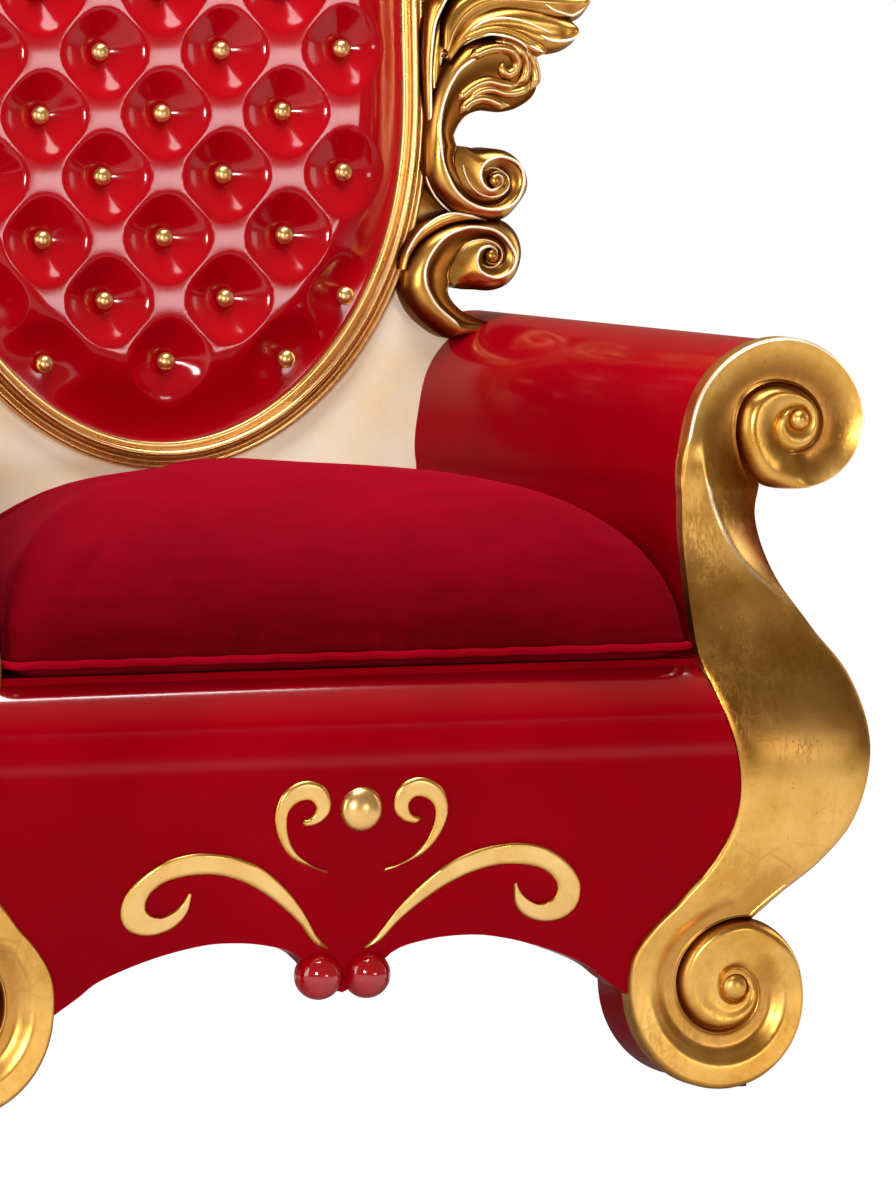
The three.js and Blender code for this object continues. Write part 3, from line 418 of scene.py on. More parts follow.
class Net:
    """Small builder for node trees: nodes by type, links by socket."""

    def __init__(self, tree):
        self.tree = tree

    def join(self, source, socket):
        self.tree.links.new(source, socket)

    def node(self, kind, inputs=None, **settings):
        n = self.tree.nodes.new(kind)
        for key, value in settings.items():
            setattr(n, key, value)
        for key, value in (inputs or {}).items():
            if isinstance(value, bpy.types.NodeSocket):
                self.join(value, n.inputs[key])
            else:
                n.inputs[key].default_value = value
        return n

    def math(self, operation, a, b=0.5, clamp=False):
        n = self.node("ShaderNodeMath", {0: a, 1: b}, operation=operation, use_clamp=clamp)
        return n.outputs[0]

    def mul(self, a, b):
        return self.math("MULTIPLY", a, b)

    def add(self, a, b, clamp=False):
        return self.math("ADD", a, b, clamp)

    def noise(self, vector, scale, detail=3.0, rough=0.5, stretch=(1, 1, 1)):
        turned = self.node("ShaderNodeMapping", {"Vector": vector, "Scale": stretch}).outputs[0]
        return self.node("ShaderNodeTexNoise", {"Vector": turned, "Scale": scale, "Detail": detail,
                                                "Roughness": rough}).outputs["Fac"]

    def span(self, value, low, high, to_low=0.0, to_high=1.0):
        return self.node("ShaderNodeMapRange", {"Value": value, "From Min": low, "From Max": high,
                                                "To Min": to_low, "To Max": to_high}).outputs[0]

    def blend(self, factor, a, b):
        n = self.node("ShaderNodeMix", {0: factor}, data_type="RGBA")
        for socket, value in ((n.inputs[6], a), (n.inputs[7], b)):
            if isinstance(value, bpy.types.NodeSocket):
                self.join(value, socket)
            else:
                socket.default_value = (*value, 1)
        return n.outputs[2]

    def place(self):
        return self.node("ShaderNodeTexCoord").outputs["Object"]

    def bump(self, height, strength, distance):
        return self.node("ShaderNodeBump", {"Height": height, "Strength": strength,
                                            "Distance": distance}).outputs["Normal"]


print("shader helpers ready")


# %% Gold leaf group
def leaf_group():
    """Gold leaf as a node group: scratches, overlapping leaves, specks, and painted shade and
    highlight by depth.
    """
    g = bpy.data.node_groups.new("gold_leaf_surface", "ShaderNodeTree")
    for name, kind, start in (("Depth", "NodeSocketFloat", 0.0), ("Wear", "NodeSocketFloat", 0.5),
                              ("Reach", "NodeSocketFloat", 16.0), ("Rough", "NodeSocketFloat", 0.28),
                              ("Light", "NodeSocketColor", None), ("Mid", "NodeSocketColor", None),
                              ("PaintedShade", "NodeSocketColor", None)):
        s = g.interface.new_socket(name, in_out="INPUT", socket_type=kind)
        if start is not None:
            s.default_value = start
    for name in ("Color", "Roughness", "Height", "Line"):
        kind = "NodeSocketColor" if name == "Color" else "NodeSocketFloat"
        g.interface.new_socket(name, in_out="OUTPUT", socket_type=kind)
    net = Net(g)
    given = net.node("NodeGroupInput").outputs
    at = net.place()
    broad = net.noise(at, 14, 4, 0.6)
    fine = net.noise(at, 120, 6, 0.7)
    cells = net.node("ShaderNodeTexVoronoi", {"Vector": at, "Scale": 22.0},
                     feature="DISTANCE_TO_EDGE")
    lap = net.span(cells.outputs["Distance"], 0.0, 0.05, 1.0, 0.0)
    worn = net.noise(at, 9, 3, 0.5)
    lap = net.mul(net.mul(lap, net.span(worn, 0.45, 0.65)), given["Wear"])
    hair = net.noise(at, 60, 8, 0.75, stretch=(1.0, 1.0, 0.22))
    scratch = net.span(net.math("ABSOLUTE", net.math("SUBTRACT", hair, 0.5)), 0.0, 0.02, 1.0, 0.0)
    scratch = net.mul(scratch, net.span(worn, 0.4, 0.7))
    scratch = net.mul(scratch, given["Wear"])
    specks = net.span(net.noise(at, 260, 2, 0.5), 0.68, 0.74)
    marks = net.math("MAXIMUM", net.mul(lap, 0.6), net.mul(scratch, 0.8))
    marks = net.math("MAXIMUM", marks, net.mul(specks, given["Wear"]), clamp=True)
    mixed = net.add(net.mul(broad, 0.85), net.mul(fine, 0.15))
    tone = net.span(mixed, 0.35, 0.65)
    colour = net.blend(tone, given["Mid"], given["Light"])
    # Painted shade: the deeper the carving, the more the colour turns to the dark tone of the
    # hollows.
    share = net.math("DIVIDE", given["Depth"], given["Reach"])
    deep = net.add(net.span(share, 0.25, 1.0, 0.0, 0.95),
                    net.mul(net.math("SUBTRACT", broad, 0.5), 0.2), clamp=True)
    colour = net.blend(deep, colour, given["PaintedShade"])
    # Painted highlight: where the stored depth is below zero, on crests and raised lines, the colour
    # turns near-white cream.
    line = net.span(given["Depth"], 0.2, -1.4)
    colour = net.blend(line, colour, srgb("fff4d6"))
    colour = net.blend(net.mul(marks, 0.55), colour, srgb("6b3a10"))
    rough = net.add(net.add(given["Rough"], net.span(broad, 0.3, 0.7, -0.05, 0.05)),
                     net.mul(marks, 0.25))
    height = net.math("SUBTRACT", net.mul(broad, 0.5), net.mul(marks, 0.5))
    out = net.node("NodeGroupOutput")
    for name, socket in (("Color", colour), ("Roughness", rough), ("Height", height),
                         ("Line", line)):
        net.join(socket, out.inputs[name])
    return g


LEAF = leaf_group()
print("gold leaf group:", len(LEAF.nodes), "nodes")


# %% Gold, lacquer and velvet
def gold(name, light, mid, deep, wear, reach=16.0, bump=0.25, metallic=1.0, rough=0.28, line=0.7):
    """A gold-leaf material with its own three tones and amount of wear; the third is painted shade.
    """
    m, p = new_material(name, mid, 0.3, metallic)
    net = Net(m.node_tree)
    # The stored depth field is the carving depth, lowered wherever a highlight is painted.
    field = net.node("ShaderNodeAttribute", attribute_name="depth").outputs["Fac"]
    group = net.node("ShaderNodeGroup", node_tree=LEAF)
    net.join(field, group.inputs["Depth"])
    for key, value in (("Wear", wear), ("Reach", reach), ("Rough", rough)):
        group.inputs[key].default_value = value
    for key, value in (("Light", light), ("Mid", mid), ("PaintedShade", deep)):
        group.inputs[key].default_value = (*value, 1)
    net.join(group.outputs["Color"], p.inputs["Base Color"])
    net.join(group.outputs["Roughness"], p.inputs["Roughness"])
    net.join(net.bump(group.outputs["Height"], bump, 0.002), p.inputs["Normal"])
    # Under the painted highlight the metal fades by the share line, so those lines read as pale
    # cream.
    plain = net.span(group.outputs["Line"], 0, 1, metallic, metallic * (1 - line))
    net.join(plain, p.inputs["Metallic"])
    return m


def lacquer(name, colour, dark, roughness, ripple, coat=0.0, specular=0.12):
    """Glossy red paint under a clear coat, slightly uneven, as wood sprayed by hand is."""
    m, p = new_material(name, colour, roughness, 0.0, coat, specular)
    net = Net(m.node_tree)
    at = net.place()
    tone = net.noise(at, 5, 3, 0.5)
    net.join(net.blend(net.span(tone, 0.35, 0.7), colour, dark), p.inputs["Base Color"])
    wave = net.bump(net.noise(at, 16, 2, 0.5), ripple, 0.003)
    net.join(wave, p.inputs["Coat Normal"])
    net.join(wave, p.inputs["Normal"])
    return m


def velvet(name, colour, light):
    """Pile: patches brushed lighter, a fine nap in the normal, and sheen at grazing angles."""
    m, p = new_material(name, colour, 0.85, specular=0.02)
    net = Net(m.node_tree)
    at = net.place()
    brushed = net.noise(at, 7, 4, 0.6, stretch=(1, 1, 2.2))
    streak = net.noise(at, 30, 4, 0.6, stretch=(0.6, 0.6, 2.6))
    mixed = net.add(net.mul(brushed, 0.6), net.mul(streak, 0.4))
    patch = net.span(mixed, 0.42, 0.68)
    # Painted light: the velvet is painted lighter towards the top of the cushion, above 0.5 m, as if
    # lit from above; the brushed patches are the pile's own variation.
    top = net.span(net.node("ShaderNodeSeparateXYZ", {0: at}).outputs[2], 0.5, 0.65, 0.0, 0.75)
    painted_top_light_and_brushing = net.add(top, net.mul(patch, 0.3), clamp=True)
    net.join(net.blend(painted_top_light_and_brushing, colour, light), p.inputs["Base Color"])
    pile = net.noise(at, 900, 2, 0.5)
    height = net.add(net.mul(pile, 0.4), patch)
    net.join(net.bump(height, 0.35, 0.0012), p.inputs["Normal"])
    set_sockets(m, {"Sheen Weight": 0.12, "Sheen Roughness": 0.35,
                    "Sheen Tint": (1.0, 0.02, 0.08, 1)})
    return m


def tones(*codes):
    """Linear colours from hex codes."""
    return [srgb(code) for code in codes]


def by_height(material):
    """Builder, shader sockets and height above the floor, in metres, of a finished material."""
    net = Net(material.node_tree)
    height = net.node("ShaderNodeSeparateXYZ", {0: net.place()}).outputs[2]
    return net, material.node_tree.nodes["Principled BSDF"].inputs, height


# %% The throne's finishes
# The third tone of each gold is the painted shade of its hollows.
GOLD = gold("gold_leaf", *tones("e8ba68", "c4903c", "82400f"), 0.7, bump=0.14, rough=0.31, line=0.3)
FRAME_GOLD = gold("frame_gold", *tones("e4b25c", "bd8638", "663610"), 0.05, reach=8.0, bump=0.02,
                  rough=0.3)
# The plate's tones are near-white and its metal low: a painted reflection, kept on the plate below
# the carvings.
PLATE_METALLIC = 0.1
PLATE_GOLD = gold("plate_gold", *tones("fffbe4", "fff0c6", "f2cf8a"), 0.15, bump=0.1,
                  metallic=PLATE_METALLIC, rough=0.4)
PALE_GOLD = gold("pale_gold", *tones("efc877", "dcab52", "a86a1e"), 0.1, bump=0.06, rough=0.3)
BRIGHT_GOLD = gold("bright_gold", *tones("e4b566", "d5a24c", "7e4510"), 0.0, bump=0.0)
RED, POLISHED = [lacquer(name, *tones("900010", "80000c"), 0.16, 0.06, specular=0.02)
                 for name in ("red_lacquer", "polished_red")]
GLOSS = lacquer("berry_red", *tones("a00010", "90000c"), 0.04, 0.0, coat=1.0, specular=0.3)
VELVET = velvet("crimson_velvet", *tones("540006", "840016"))
# The piping is a lighter copy of the velvet: a painted highlight along the seam.
PIPING_PAINTED_HIGHLIGHT = velvet("piping_velvet_painted_highlight", *tones("80000f", "a8042a"))
PATENT = lacquer("patent_red", *tones("a80012", "9a000e"), 0.5, 0.03, coat=1.0, specular=0.0)
set_sockets(PATENT, {"Coat IOR": 1.38, "Coat Roughness": 0.1})

# %% Finishes that change with height
# The lacquer is waxed on the apron's lip and on top of the arms, so its coat grows there.
net, shader, height = by_height(POLISHED)
lip = net.mul(net.span(height, 0.415, 0.455, 0.0, 0.9), net.span(height, 0.5, 0.48))
net.join(net.add(lip, net.span(height, 0.70, 0.76, 0.0, 0.3)), shader["Coat Weight"])
set_sockets(POLISHED, {"Coat Roughness": 0.12, "Coat IOR": 2.1})

# The gold of the fronts is painted darker in a band below the arms: painted shade.
net, shader, height = by_height(GOLD)
painted_shade_band = net.mul(net.span(height, 0.335, 0.375, 0.0, 0.62), net.span(height, 0.56, 0.44))
plain = shader["Base Color"].links[0].from_socket
net.join(net.blend(painted_shade_band, plain, srgb("7c5222")), shader["Base Color"])

# The plate is painted near-white and barely metallic behind the seat, a painted reflection of the
# front card; between the carvings it is metallic gold.
net, shader, height = by_height(PLATE_GOLD)
upper = net.span(height, 0.84, 0.93)
plain = shader["Base Color"].links[0].from_socket
net.join(net.blend(upper, plain, srgb("b87a2c")), shader["Base Color"])
net.join(net.span(upper, 0, 1, PLATE_METALLIC, 1.0), shader["Metallic"])
print("finishes:", len(bpy.data.materials))


# %% [markdown]
# ## Placing the scroll fronts
# Both fronts come from one mesh: the left one is its mirror image. They could be sculpted, but a
# computed band keeps every turn of the volutes even.

# %% Scroll fronts
points, faces, depth_with_highlights = scroll_front()
add_pair("scroll_front", points, faces, None, "gold_leaf", GOLD, smooth=50, fields={"depth": depth_with_highlights})
print("scroll front:", len(points), "points")

# %% [markdown]
# ## The red shell
# The body is one lacquered shell. Its apron is a swollen sheet whose side edges follow the gold
# and whose lower edge is cut to a cusp and two arches: at each share s of the half width,
# x = s X(z), where X is the gold's edge. Cutting it with a Boolean would leave a rough edge.

# %% Shell outlines
APRON_EDGE = [(0, 120), (26, 134), (55, 163), (90, 174), (127, 178), (166, 176), (221, 163),
              (275, 142), (300, 124), (330, 104)]
LEG_OUTER = [(566, 352), (578, 250), (582, 130), (591, 50), (600, 0)]
LEG_INNER = [(566, 0), (560, 60), (545, 118), (505, 162), (450, 182)]

foot_outer = volute_edges(FOOT_VOLUTE)[1]
arm_outer = volute_edges(ARM_VOLUTE)[1]
seat_side = curve(S_SEAT_SIDE, S_COUNT)
outer_side = curve(S_OUTER_SIDE, S_COUNT)
loop = np.concatenate([seat_side, arm_outer[1:TURN], outer_side[::-1], foot_outer[1:TURN][::-1]])
gold_edge = np.concatenate([foot_outer[1:60][::-1], seat_side])
gold_edge = gold_edge[np.argmin(gold_edge[:60, 0]):]
flank = inset(loop, INSET)[S_COUNT + TURN:2 * S_COUNT + TURN + 1][::-1]
edge_x, edge_z = curve(APRON_EDGE, 60).T


def gold_x(z):
    """Seat-side edge of the gold at a height."""
    return np.interp(z, gold_edge[:, 1], gold_edge[:, 0])


def side_x(z):
    """Outer side of the red shell at a height."""
    return np.interp(z, flank[:, 1], flank[:, 0])


print("gold edge:", len(gold_edge), "points")


# %% Apron
LIP, APRON_REAR = 65, -300


def apron_profile(s):
    """Apron section: swollen front from the cut edge up, a quarter-round lip, and a plain back."""
    low = 150.0
    for _ in range(30):
        low = float(np.interp(abs(s) * (gold_x(low) - FIT), edge_x, edge_z))
    z = np.linspace(low, SEAT_TOP - LIP, 60)
    front = np.stack([s * (gold_x(z) - FIT), front_y(z) + APRON_RECESS, z], 1)
    a = np.linspace(0, np.pi / 2, 17)[1:]
    top = SEAT_TOP - LIP + LIP * np.sin(a)
    y = front[-1, 1] + LIP * (1 - np.cos(a))
    rounded = np.stack([s * (gold_x(top) - FIT), y, top], 1)
    z = np.linspace(SEAT_TOP, low, 12)
    rear = np.stack([s * (gold_x(z) - FIT), np.full(12, APRON_REAR), z], 1)
    return np.concatenate([front, rounded, rear])


shares = np.sin(np.linspace(-np.pi / 2, np.pi / 2, 121))
points, faces = loft([apron_profile(s) for s in shares])
add_piece("apron", points, faces, ["seat_body"], "red_lacquer", POLISHED)
print("apron:", len(points), "points")


# %% Seat box, feet and rear legs
def side_ring(z):
    """Level section of the seat box: full width behind the gold, with cut rear corners."""
    w, y = side_x(z), float(front_y(z)) + SLAB + FIT
    rear, cut = BODY_REAR, 8
    xy = [(-w, y), (w, y), (w, rear - cut), (w - cut, rear), (cut - w, rear), (-w, rear - cut)]
    return [(a, b, z) for a, b in xy]


levels = np.linspace(UNDERSIDE, SEAT_TOP - 0.2, 40)
add_piece("seat_box", *loft([side_ring(z) for z in levels]), ["seat_body"], "red_lacquer", RED)

disc = inset(foot_outer[:TURN], INSET)
core_front = float(front_y(0)) + SLAB + FIT


def foot_core(depth=88, rounding=6):
    """Round block behind the gold foot: follows the swell in front, rounded at its rear edge."""
    rings = [np.stack([disc[:, 0], front_y(disc[:, 1]) + SLAB + FIT, disc[:, 1]], 1)]
    for a in np.linspace(0, np.pi / 2, 7):
        ring = inset(disc, rounding * (1 - math.cos(a)))
        y = core_front + depth - rounding + rounding * math.sin(a)
        rings.append(np.insert(ring, 1, y, axis=1))
    return loft(rings)


def rear_leg():
    """Bracket leg: a front-view outline between two depths."""
    outline = np.concatenate([curve(LEG_OUTER, 40), curve(LEG_INNER, 40), [(450, 352)]])
    return loft([np.insert(outline, 1, y, axis=1) for y in (248, 318)])


def block(x0, x1, y0, y1, z0, z1):
    """Box between two corners."""
    return loft([[(x0, y, z0), (x1, y, z0), (x1, y, z1), (x0, y, z1)] for y in (y0, y1)])


for name, (points, faces) in (("foot_core", foot_core()), ("rear_leg", rear_leg()),
                              ("glide", block(438, 472, core_front, core_front + 74, 0, 40))):
    add_pair(name, points, faces, ["seat_body"], "red_lacquer", RED)
print("shell done")

# %% [markdown]
# ## The arms
# The arms are rolls of glossy red. A cylinder would leave a gap at the gold, so the scroll's own
# upper outline is drawn back to the plate, and each point closes in by the taper.

# %% Arms
ARM_TAPER, ARM_RISE = 100, 4


def arm(rear=300.0):
    """Loft of the arm from the back of the gold to behind the plate."""
    kept = inset(loop, INSET)[:2 * S_COUNT + TURN + 1]
    base = SEAT_TOP + FIT
    start = np.argmax(kept[:, 1] > base + 6)
    end = len(kept) - np.argmax(kept[::-1, 1] > base + 6)
    kept = kept[start:end]
    front = np.concatenate([kept, [(side_x(SEAT_TOP), base), (kept[0, 0], base)]])
    top = np.argmax(front[:, 1] > 642)
    closing = np.where((np.arange(len(front)) > top) & (front[:, 0] > 420),
                       ease((front[:, 1] - base) / 180), 1)
    start = float(front_y(700)) + SLAB
    rings = []
    for share in np.linspace(0, 1, 24):
        y = front_y(front[:, 1]) + SLAB + FIT
        y = y + (rear - y) * share
        drawn = np.maximum(0, (y - start) / (BACK_Y - start))
        rise = ARM_RISE * drawn * ease((front[:, 1] - base) / 180)
        rings.append(np.stack([front[:, 0] - ARM_TAPER * drawn * closing, y, front[:, 1] + rise], 1))
    return loft(rings)


add_pair("arm", *arm(), None, "red_lacquer", POLISHED)
print("arms done")

# %% [markdown]
# ## The back
# A flat plate carries the carving. A carved scroll is a band like the fronts, at a smaller size.
# The tables give each band's two edges and its raised lines as (x, z) points in the plane of the
# back; a raised line is (half width, height, points).

# %% Tables of the carving
LOWER_C = dict(
    centre=(379, 874), drift=(0, 0), drift_from=600, turn=-1, join=-29, first=-11, full=12, end=691,
    radii=[(-11, 105), (12, 84), (33, 62), (65, 42), (108, 41), (190, 36), (229, 37), (296, 42),
           (331, 58), (360, 43), (400, 30), (450, 21), (540, 15), (630, 11), (691, 8)])
LOWER_C_STEM = ([(384, 790), (352, 786), (325, 784), (300, 799), (284, 817), (276, 838),
                 (276, 854)],
                [(386, 797), (368, 802), (350, 809), (338, 817), (329, 827), (326, 836),
                 (328, 846)])
UPPER_C = dict(
    centre=(383, 957), drift=(0, 0), drift_from=800, turn=1, join=141, first=152, full=199, end=861,
    radii=[(152, 90), (164, 84), (180, 78), (199, 66), (219, 57), (247, 47), (282, 44), (314, 39),
           (351, 40), (385, 37), (423, 35), (461, 35), (480, 39), (501, 57), (540, 42), (585, 32),
           (630, 24), (720, 17), (810, 11), (861, 8)])
UPPER_C_STEM = ([(433, 1089), (413, 1110), (384, 1117), (354, 1112), (330, 1090), (316, 1062),
                 (307, 1030), (303, 1000)],
                [(437, 1080), (430, 1052), (410, 1037), (388, 1032), (365, 1034), (347, 1027),
                 (335, 1009), (338, 993)])
LEAF_LOBES = (
    (40, 2, [(327, 1091), (339, 1105), (364, 1114), (388, 1113), (406, 1105), (423, 1094),
             (433, 1092), (442, 1098)],
     [(323, 1094), (336, 1110), (352, 1123), (378, 1131), (406, 1128), (427, 1118), (440, 1107),
      (442, 1098)]),
    (38, 2, [(330, 1088), (347, 1106), (370, 1117), (399, 1116), (423, 1107), (439, 1096),
             (454, 1096), (468, 1101), (479, 1110), (483, 1121)],
     [(324, 1100), (339, 1120), (355, 1137), (379, 1147), (406, 1151), (436, 1147), (459, 1139),
      (474, 1133), (483, 1121)]),
    (34, 3, [(331, 1095), (347, 1116), (367, 1132), (395, 1143), (424, 1140), (447, 1133),
             (464, 1129), (480, 1131), (492, 1140), (499, 1155)],
     [(321, 1106), (324, 1133), (336, 1155), (360, 1168), (392, 1174), (427, 1176), (458, 1173),
      (484, 1167), (499, 1155)]))
# Raised lines: half width, height and path.
LOWER_LINES = (
    (1.8, 3.0, [(337, 797), (326, 806), (313, 817), (304, 829), (298, 842), (297, 857),
                (301, 871), (309, 883), (321, 895), (335, 902), (351, 906), (366, 905),
                (380, 902), (392, 894), (401, 882), (405, 871), (402, 861), (395, 854),
                (384, 850), (374, 851), (364, 856), (360, 863), (359, 872), (362, 880),
                (369, 884), (378, 884), (384, 879), (381, 874)]),
    (1.2, 1.2, [(343, 879), (351, 888), (361, 891), (372, 891), (383, 886), (389, 878),
                (389, 868), (383, 862), (374, 861), (366, 865)]))
UPPER_LINES = (
    (1.8, 3.0, [(391, 1096), (380, 1099), (367, 1096), (354, 1089), (341, 1080), (330, 1065),
                (323, 1050), (318, 1034), (316, 1016), (316, 1001), (319, 981), (326, 961),
                (334, 946), (346, 935), (360, 928), (376, 925), (390, 926), (401, 931),
                (409, 940), (414, 953), (413, 966), (407, 976), (395, 982), (383, 983),
                (372, 979), (365, 971), (363, 961), (366, 953), (373, 947), (381, 947),
                (388, 951), (391, 958), (386, 963), (379, 962)]),
    (1.2, 1.2, [(343, 976), (346, 963), (353, 951), (362, 943), (375, 939), (388, 941),
                (397, 949), (398, 959), (393, 965), (385, 970), (376, 971), (370, 968)]),
    (1.2, 2.0, [(302, 963), (306, 952), (313, 940), (322, 930), (332, 922)]),
    (6.5, 7.0, [(352, 1093), (371, 1101), (387, 1103), (402, 1099), (410, 1088), (407, 1078),
                (398, 1074), (392, 1081), (395, 1088)]),
    (6.5, 7.0, [(385, 1111), (402, 1107), (415, 1097), (421, 1085), (420, 1072), (410, 1063)]),
    (6.0, 6.0, [(412, 1103), (424, 1093), (431, 1080), (432, 1067), (426, 1056)]),
    (6.5, 6.5, [(339, 1045), (350, 1055), (363, 1063), (376, 1066), (390, 1063), (403, 1061),
                (414, 1063)]),
    (5.5, 6.0, [(351, 1045), (365, 1055), (380, 1057), (394, 1053), (408, 1053), (420, 1057),
                (427, 1065)]),
    (6.5, 6.0, [(342, 1031), (352, 1042), (364, 1047), (376, 1046), (388, 1041), (401, 1039)]))
LOBE_LINES = (
    ((1.4, 2.0, [(343, 1105), (356, 1112), (372, 1118), (388, 1117), (403, 1113), (415, 1106),
                 (423, 1097)]),
     (1.6, 2.5, [(421, 1106), (430, 1101), (437, 1098), (442, 1100)])),
    ((1.4, 2.0, [(352, 1123), (367, 1132), (384, 1136), (402, 1135), (421, 1130), (438, 1123),
                 (450, 1118)]),
     (1.8, 3.0, [(435, 1117), (444, 1112), (456, 1110), (468, 1111), (477, 1115), (479, 1122)])),
    ((1.6, 3.0, [(442, 1151), (453, 1144), (465, 1140), (475, 1138), (483, 1142), (490, 1148)]),))
PLAIN_BANDS = (
    ("leaf_root", 20, [(323, 1042), (328, 1071), (332, 1095), (339, 1117), (351, 1137),
                       (368, 1154), (386, 1167)],
     [(311, 1043), (309, 1076), (311, 1100), (314, 1122), (322, 1141), (334, 1159), (351, 1174)],
     [(323, 1084), (326, 1106), (333, 1126), (346, 1145), (360, 1161)]),
    ("scroll_shoulder", 26, [(279, 860), (285, 875), (296, 888), (312, 898), (330, 906),
                             (349, 910), (366, 911), (384, 910)],
     [(270, 861), (274, 876), (281, 891), (292, 905), (306, 915), (320, 921), (335, 924),
      (349, 922), (366, 918), (384, 913)],
     [(276, 874), (283, 888), (294, 902), (309, 913), (322, 919), (335, 921), (349, 919),
      (365, 915)]),
    ("leaf_stem", 30, [(313, 992), (311, 1016), (311, 1041), (311, 1067), (312, 1091),
                       (316, 1115), (323, 1137), (334, 1157), (345, 1172)],
     [(309, 992), (306, 1016), (304, 1042), (303, 1067), (302, 1091), (303, 1115), (305, 1137),
      (310, 1157), (324, 1174)],
     [(310, 1005), (309, 1025), (309, 1052), (309, 1080), (310, 1107), (313, 1130), (321, 1150),
      (331, 1165)]))
SUNK = 14                     # carving let into the plate
SMALL_TURN = 60               # stations in one turn of a small scroll
STEM_COUNT = 60               # stations along its stem
print("carved bands:", len(PLAIN_BANDS), "leaf lobes:", len(LEAF_LOBES))


# %% Relief skins
def columns(crest, wide, sides=(12, 11, 36)):
    """Shares across the band for each row, packed round the crest line."""
    low, high = np.maximum(crest - wide * 2, 0.02), crest + wide * 2
    a, b, c = [np.linspace(0, 1, n + 1)[None] for n in sides]
    return np.concatenate([low * a[:, :-1], low + (high - low) * b[:, :-1], high + (1 - high) * c], 1)


def relief(near, far, u, depth, proud, tone=None):
    """Band skin in the leaning plane between two edges: shares u and depths for each row."""
    tone = depth if tone is None else tone
    width = np.linalg.norm(near - far, axis=1)[:, None]
    depth = depth[:, :1] + (depth - depth[:, :1]) * np.clip(width / 12, 0, 1)
    flat = near[:, None] + (far - near)[:, None] * u[..., None]
    points = np.stack([flat[..., 0], depth - proud, flat[..., 1]], -1)
    return points.reshape(-1, 3), grid_faces(*depth.shape).tolist(), tone.ravel()


def carved_section(u, crest, edge, channel, far):
    """Rounded side up to the crest, a hollow channel, then the far edge."""
    side = edge * np.clip(1 - u / crest, 0, 1) ** 1.9
    t = np.clip((u - crest) / (1 - crest), 0, 1)
    hollow = channel * np.sin(np.pi * t ** 0.8) ** 0.7 + far * t ** 3
    return side + 1.2 + hollow


FINE_LINE = 2.5               # half width from which a raised line is a fold


def bead(wide, tall, path, surface):
    """Raised line on a carved surface: an oval bar half sunk in it, thinner towards its ends."""
    path = curve(path, 12 * len(path))
    run = np.concatenate([[0], np.cumsum(np.linalg.norm(np.diff(path, axis=0), axis=1))])
    at = np.linspace(0, run[-1], max(10, round(run[-1] / 1.6)))
    flat = np.stack([np.interp(at, run, path[:, k]) for k in (0, 1)], 1)
    gap = np.sum((surface[None, :, ::2] - flat[:, None]) ** 2, axis=2)
    near = np.argpartition(gap, 5, axis=1)[:, :5]
    base = np.convolve(np.pad(surface[near, 1].mean(1), 3, mode="edge"), np.ones(7) / 7, "valid")
    along = np.gradient(flat, axis=0)
    out = np.stack([-along[:, 1], along[:, 0]], 1) / np.linalg.norm(along, axis=1)[:, None]
    size = np.clip(np.minimum(at / 8, (run[-1] - at) / 12), 0.05, 1) ** 0.7
    a = 2 * np.pi * np.arange(20) / 20
    side = flat[:, None] + out[:, None] * (wide * size[:, None] * np.cos(a))[..., None]
    depth = base[:, None] - tall * size[:, None] * np.sin(a)
    points, faces = loft(np.stack([side[..., 0], depth, side[..., 1]], -1))
    # Stored tone: the front half of each bar is lowered to a painted highlight; wide folds start from
    # a middle tone, so their sides take some painted shade.
    low, reach = (1, 5) if wide < FINE_LINE else (4.5, 5.2)
    pale = reach * min(1, tall / 3) * np.maximum(np.sin(a), 0) ** max(1, wide / 1.2)
    return points, faces, np.tile(low - pale, len(at))


def crossing(near, far, path):
    """Share across each row, from near to far, where a line crosses it, smoothed along the rows."""
    path = curve(path, 12 * len(path))
    run = (far - near)[:, None]
    rest = path[None] - near[:, None]
    share = np.sum(rest * run, axis=2) / np.sum(run * run, axis=2)
    off = np.abs(rest[..., 0] * run[..., 1] - rest[..., 1] * run[..., 0])
    off = off / np.linalg.norm(run, axis=2) + 1000 * (np.abs(share - 0.5) > 0.46)
    pick = np.argmin(off, axis=1)
    rows = np.arange(len(near))
    met = off[rows, pick] < 3
    value = np.interp(rows, rows[met], share[rows, pick][met])
    return np.convolve(np.pad(value, 4, mode="edge"), np.ones(9) / 9, "valid")


def c_scroll(v, stem, proud, line):
    """A stem that winds into one volute; a raised line moves across the band as it winds."""
    turned, outer, inner = volute_edges(v, SMALL_TURN)
    near = np.concatenate([curve(stem[0], STEM_COUNT), outer[1:]])
    far = np.concatenate([curve(stem[1], STEM_COUNT), inner[1:]])
    crest = np.clip(crossing(near, far, line), 0.12, 0.8)[:, None]
    wide = np.clip(1.7 / np.maximum(np.linalg.norm(near - far, axis=1), 8), 0.02, 0.12)[:, None]
    u = columns(crest, wide)
    at = turned[1:, None]
    edge = np.where(at < 350, 12, 4 + 4 * ease((at - 370) / 90))
    settled = ease(at / 110)
    n = STEM_COUNT + 1
    wound = carved_section(u[n:], crest[n:], edge, 7 - 3 * settled, 6 + 2 * settled)
    along = carved_section(u[:n], crest[:n], 12, 7, 6)
    points, faces, depth = relief(near, far, u, np.concatenate([along, wound]), proud)
    more, cap, deep = eye_dome(v, SMALL_TURN, lambda z: -proud + 0 * z, 8, -2, rings=12)
    faces += [[i + len(points) for i in f] for f in cap]
    return np.concatenate([points, more]), faces, np.concatenate([depth, deep])


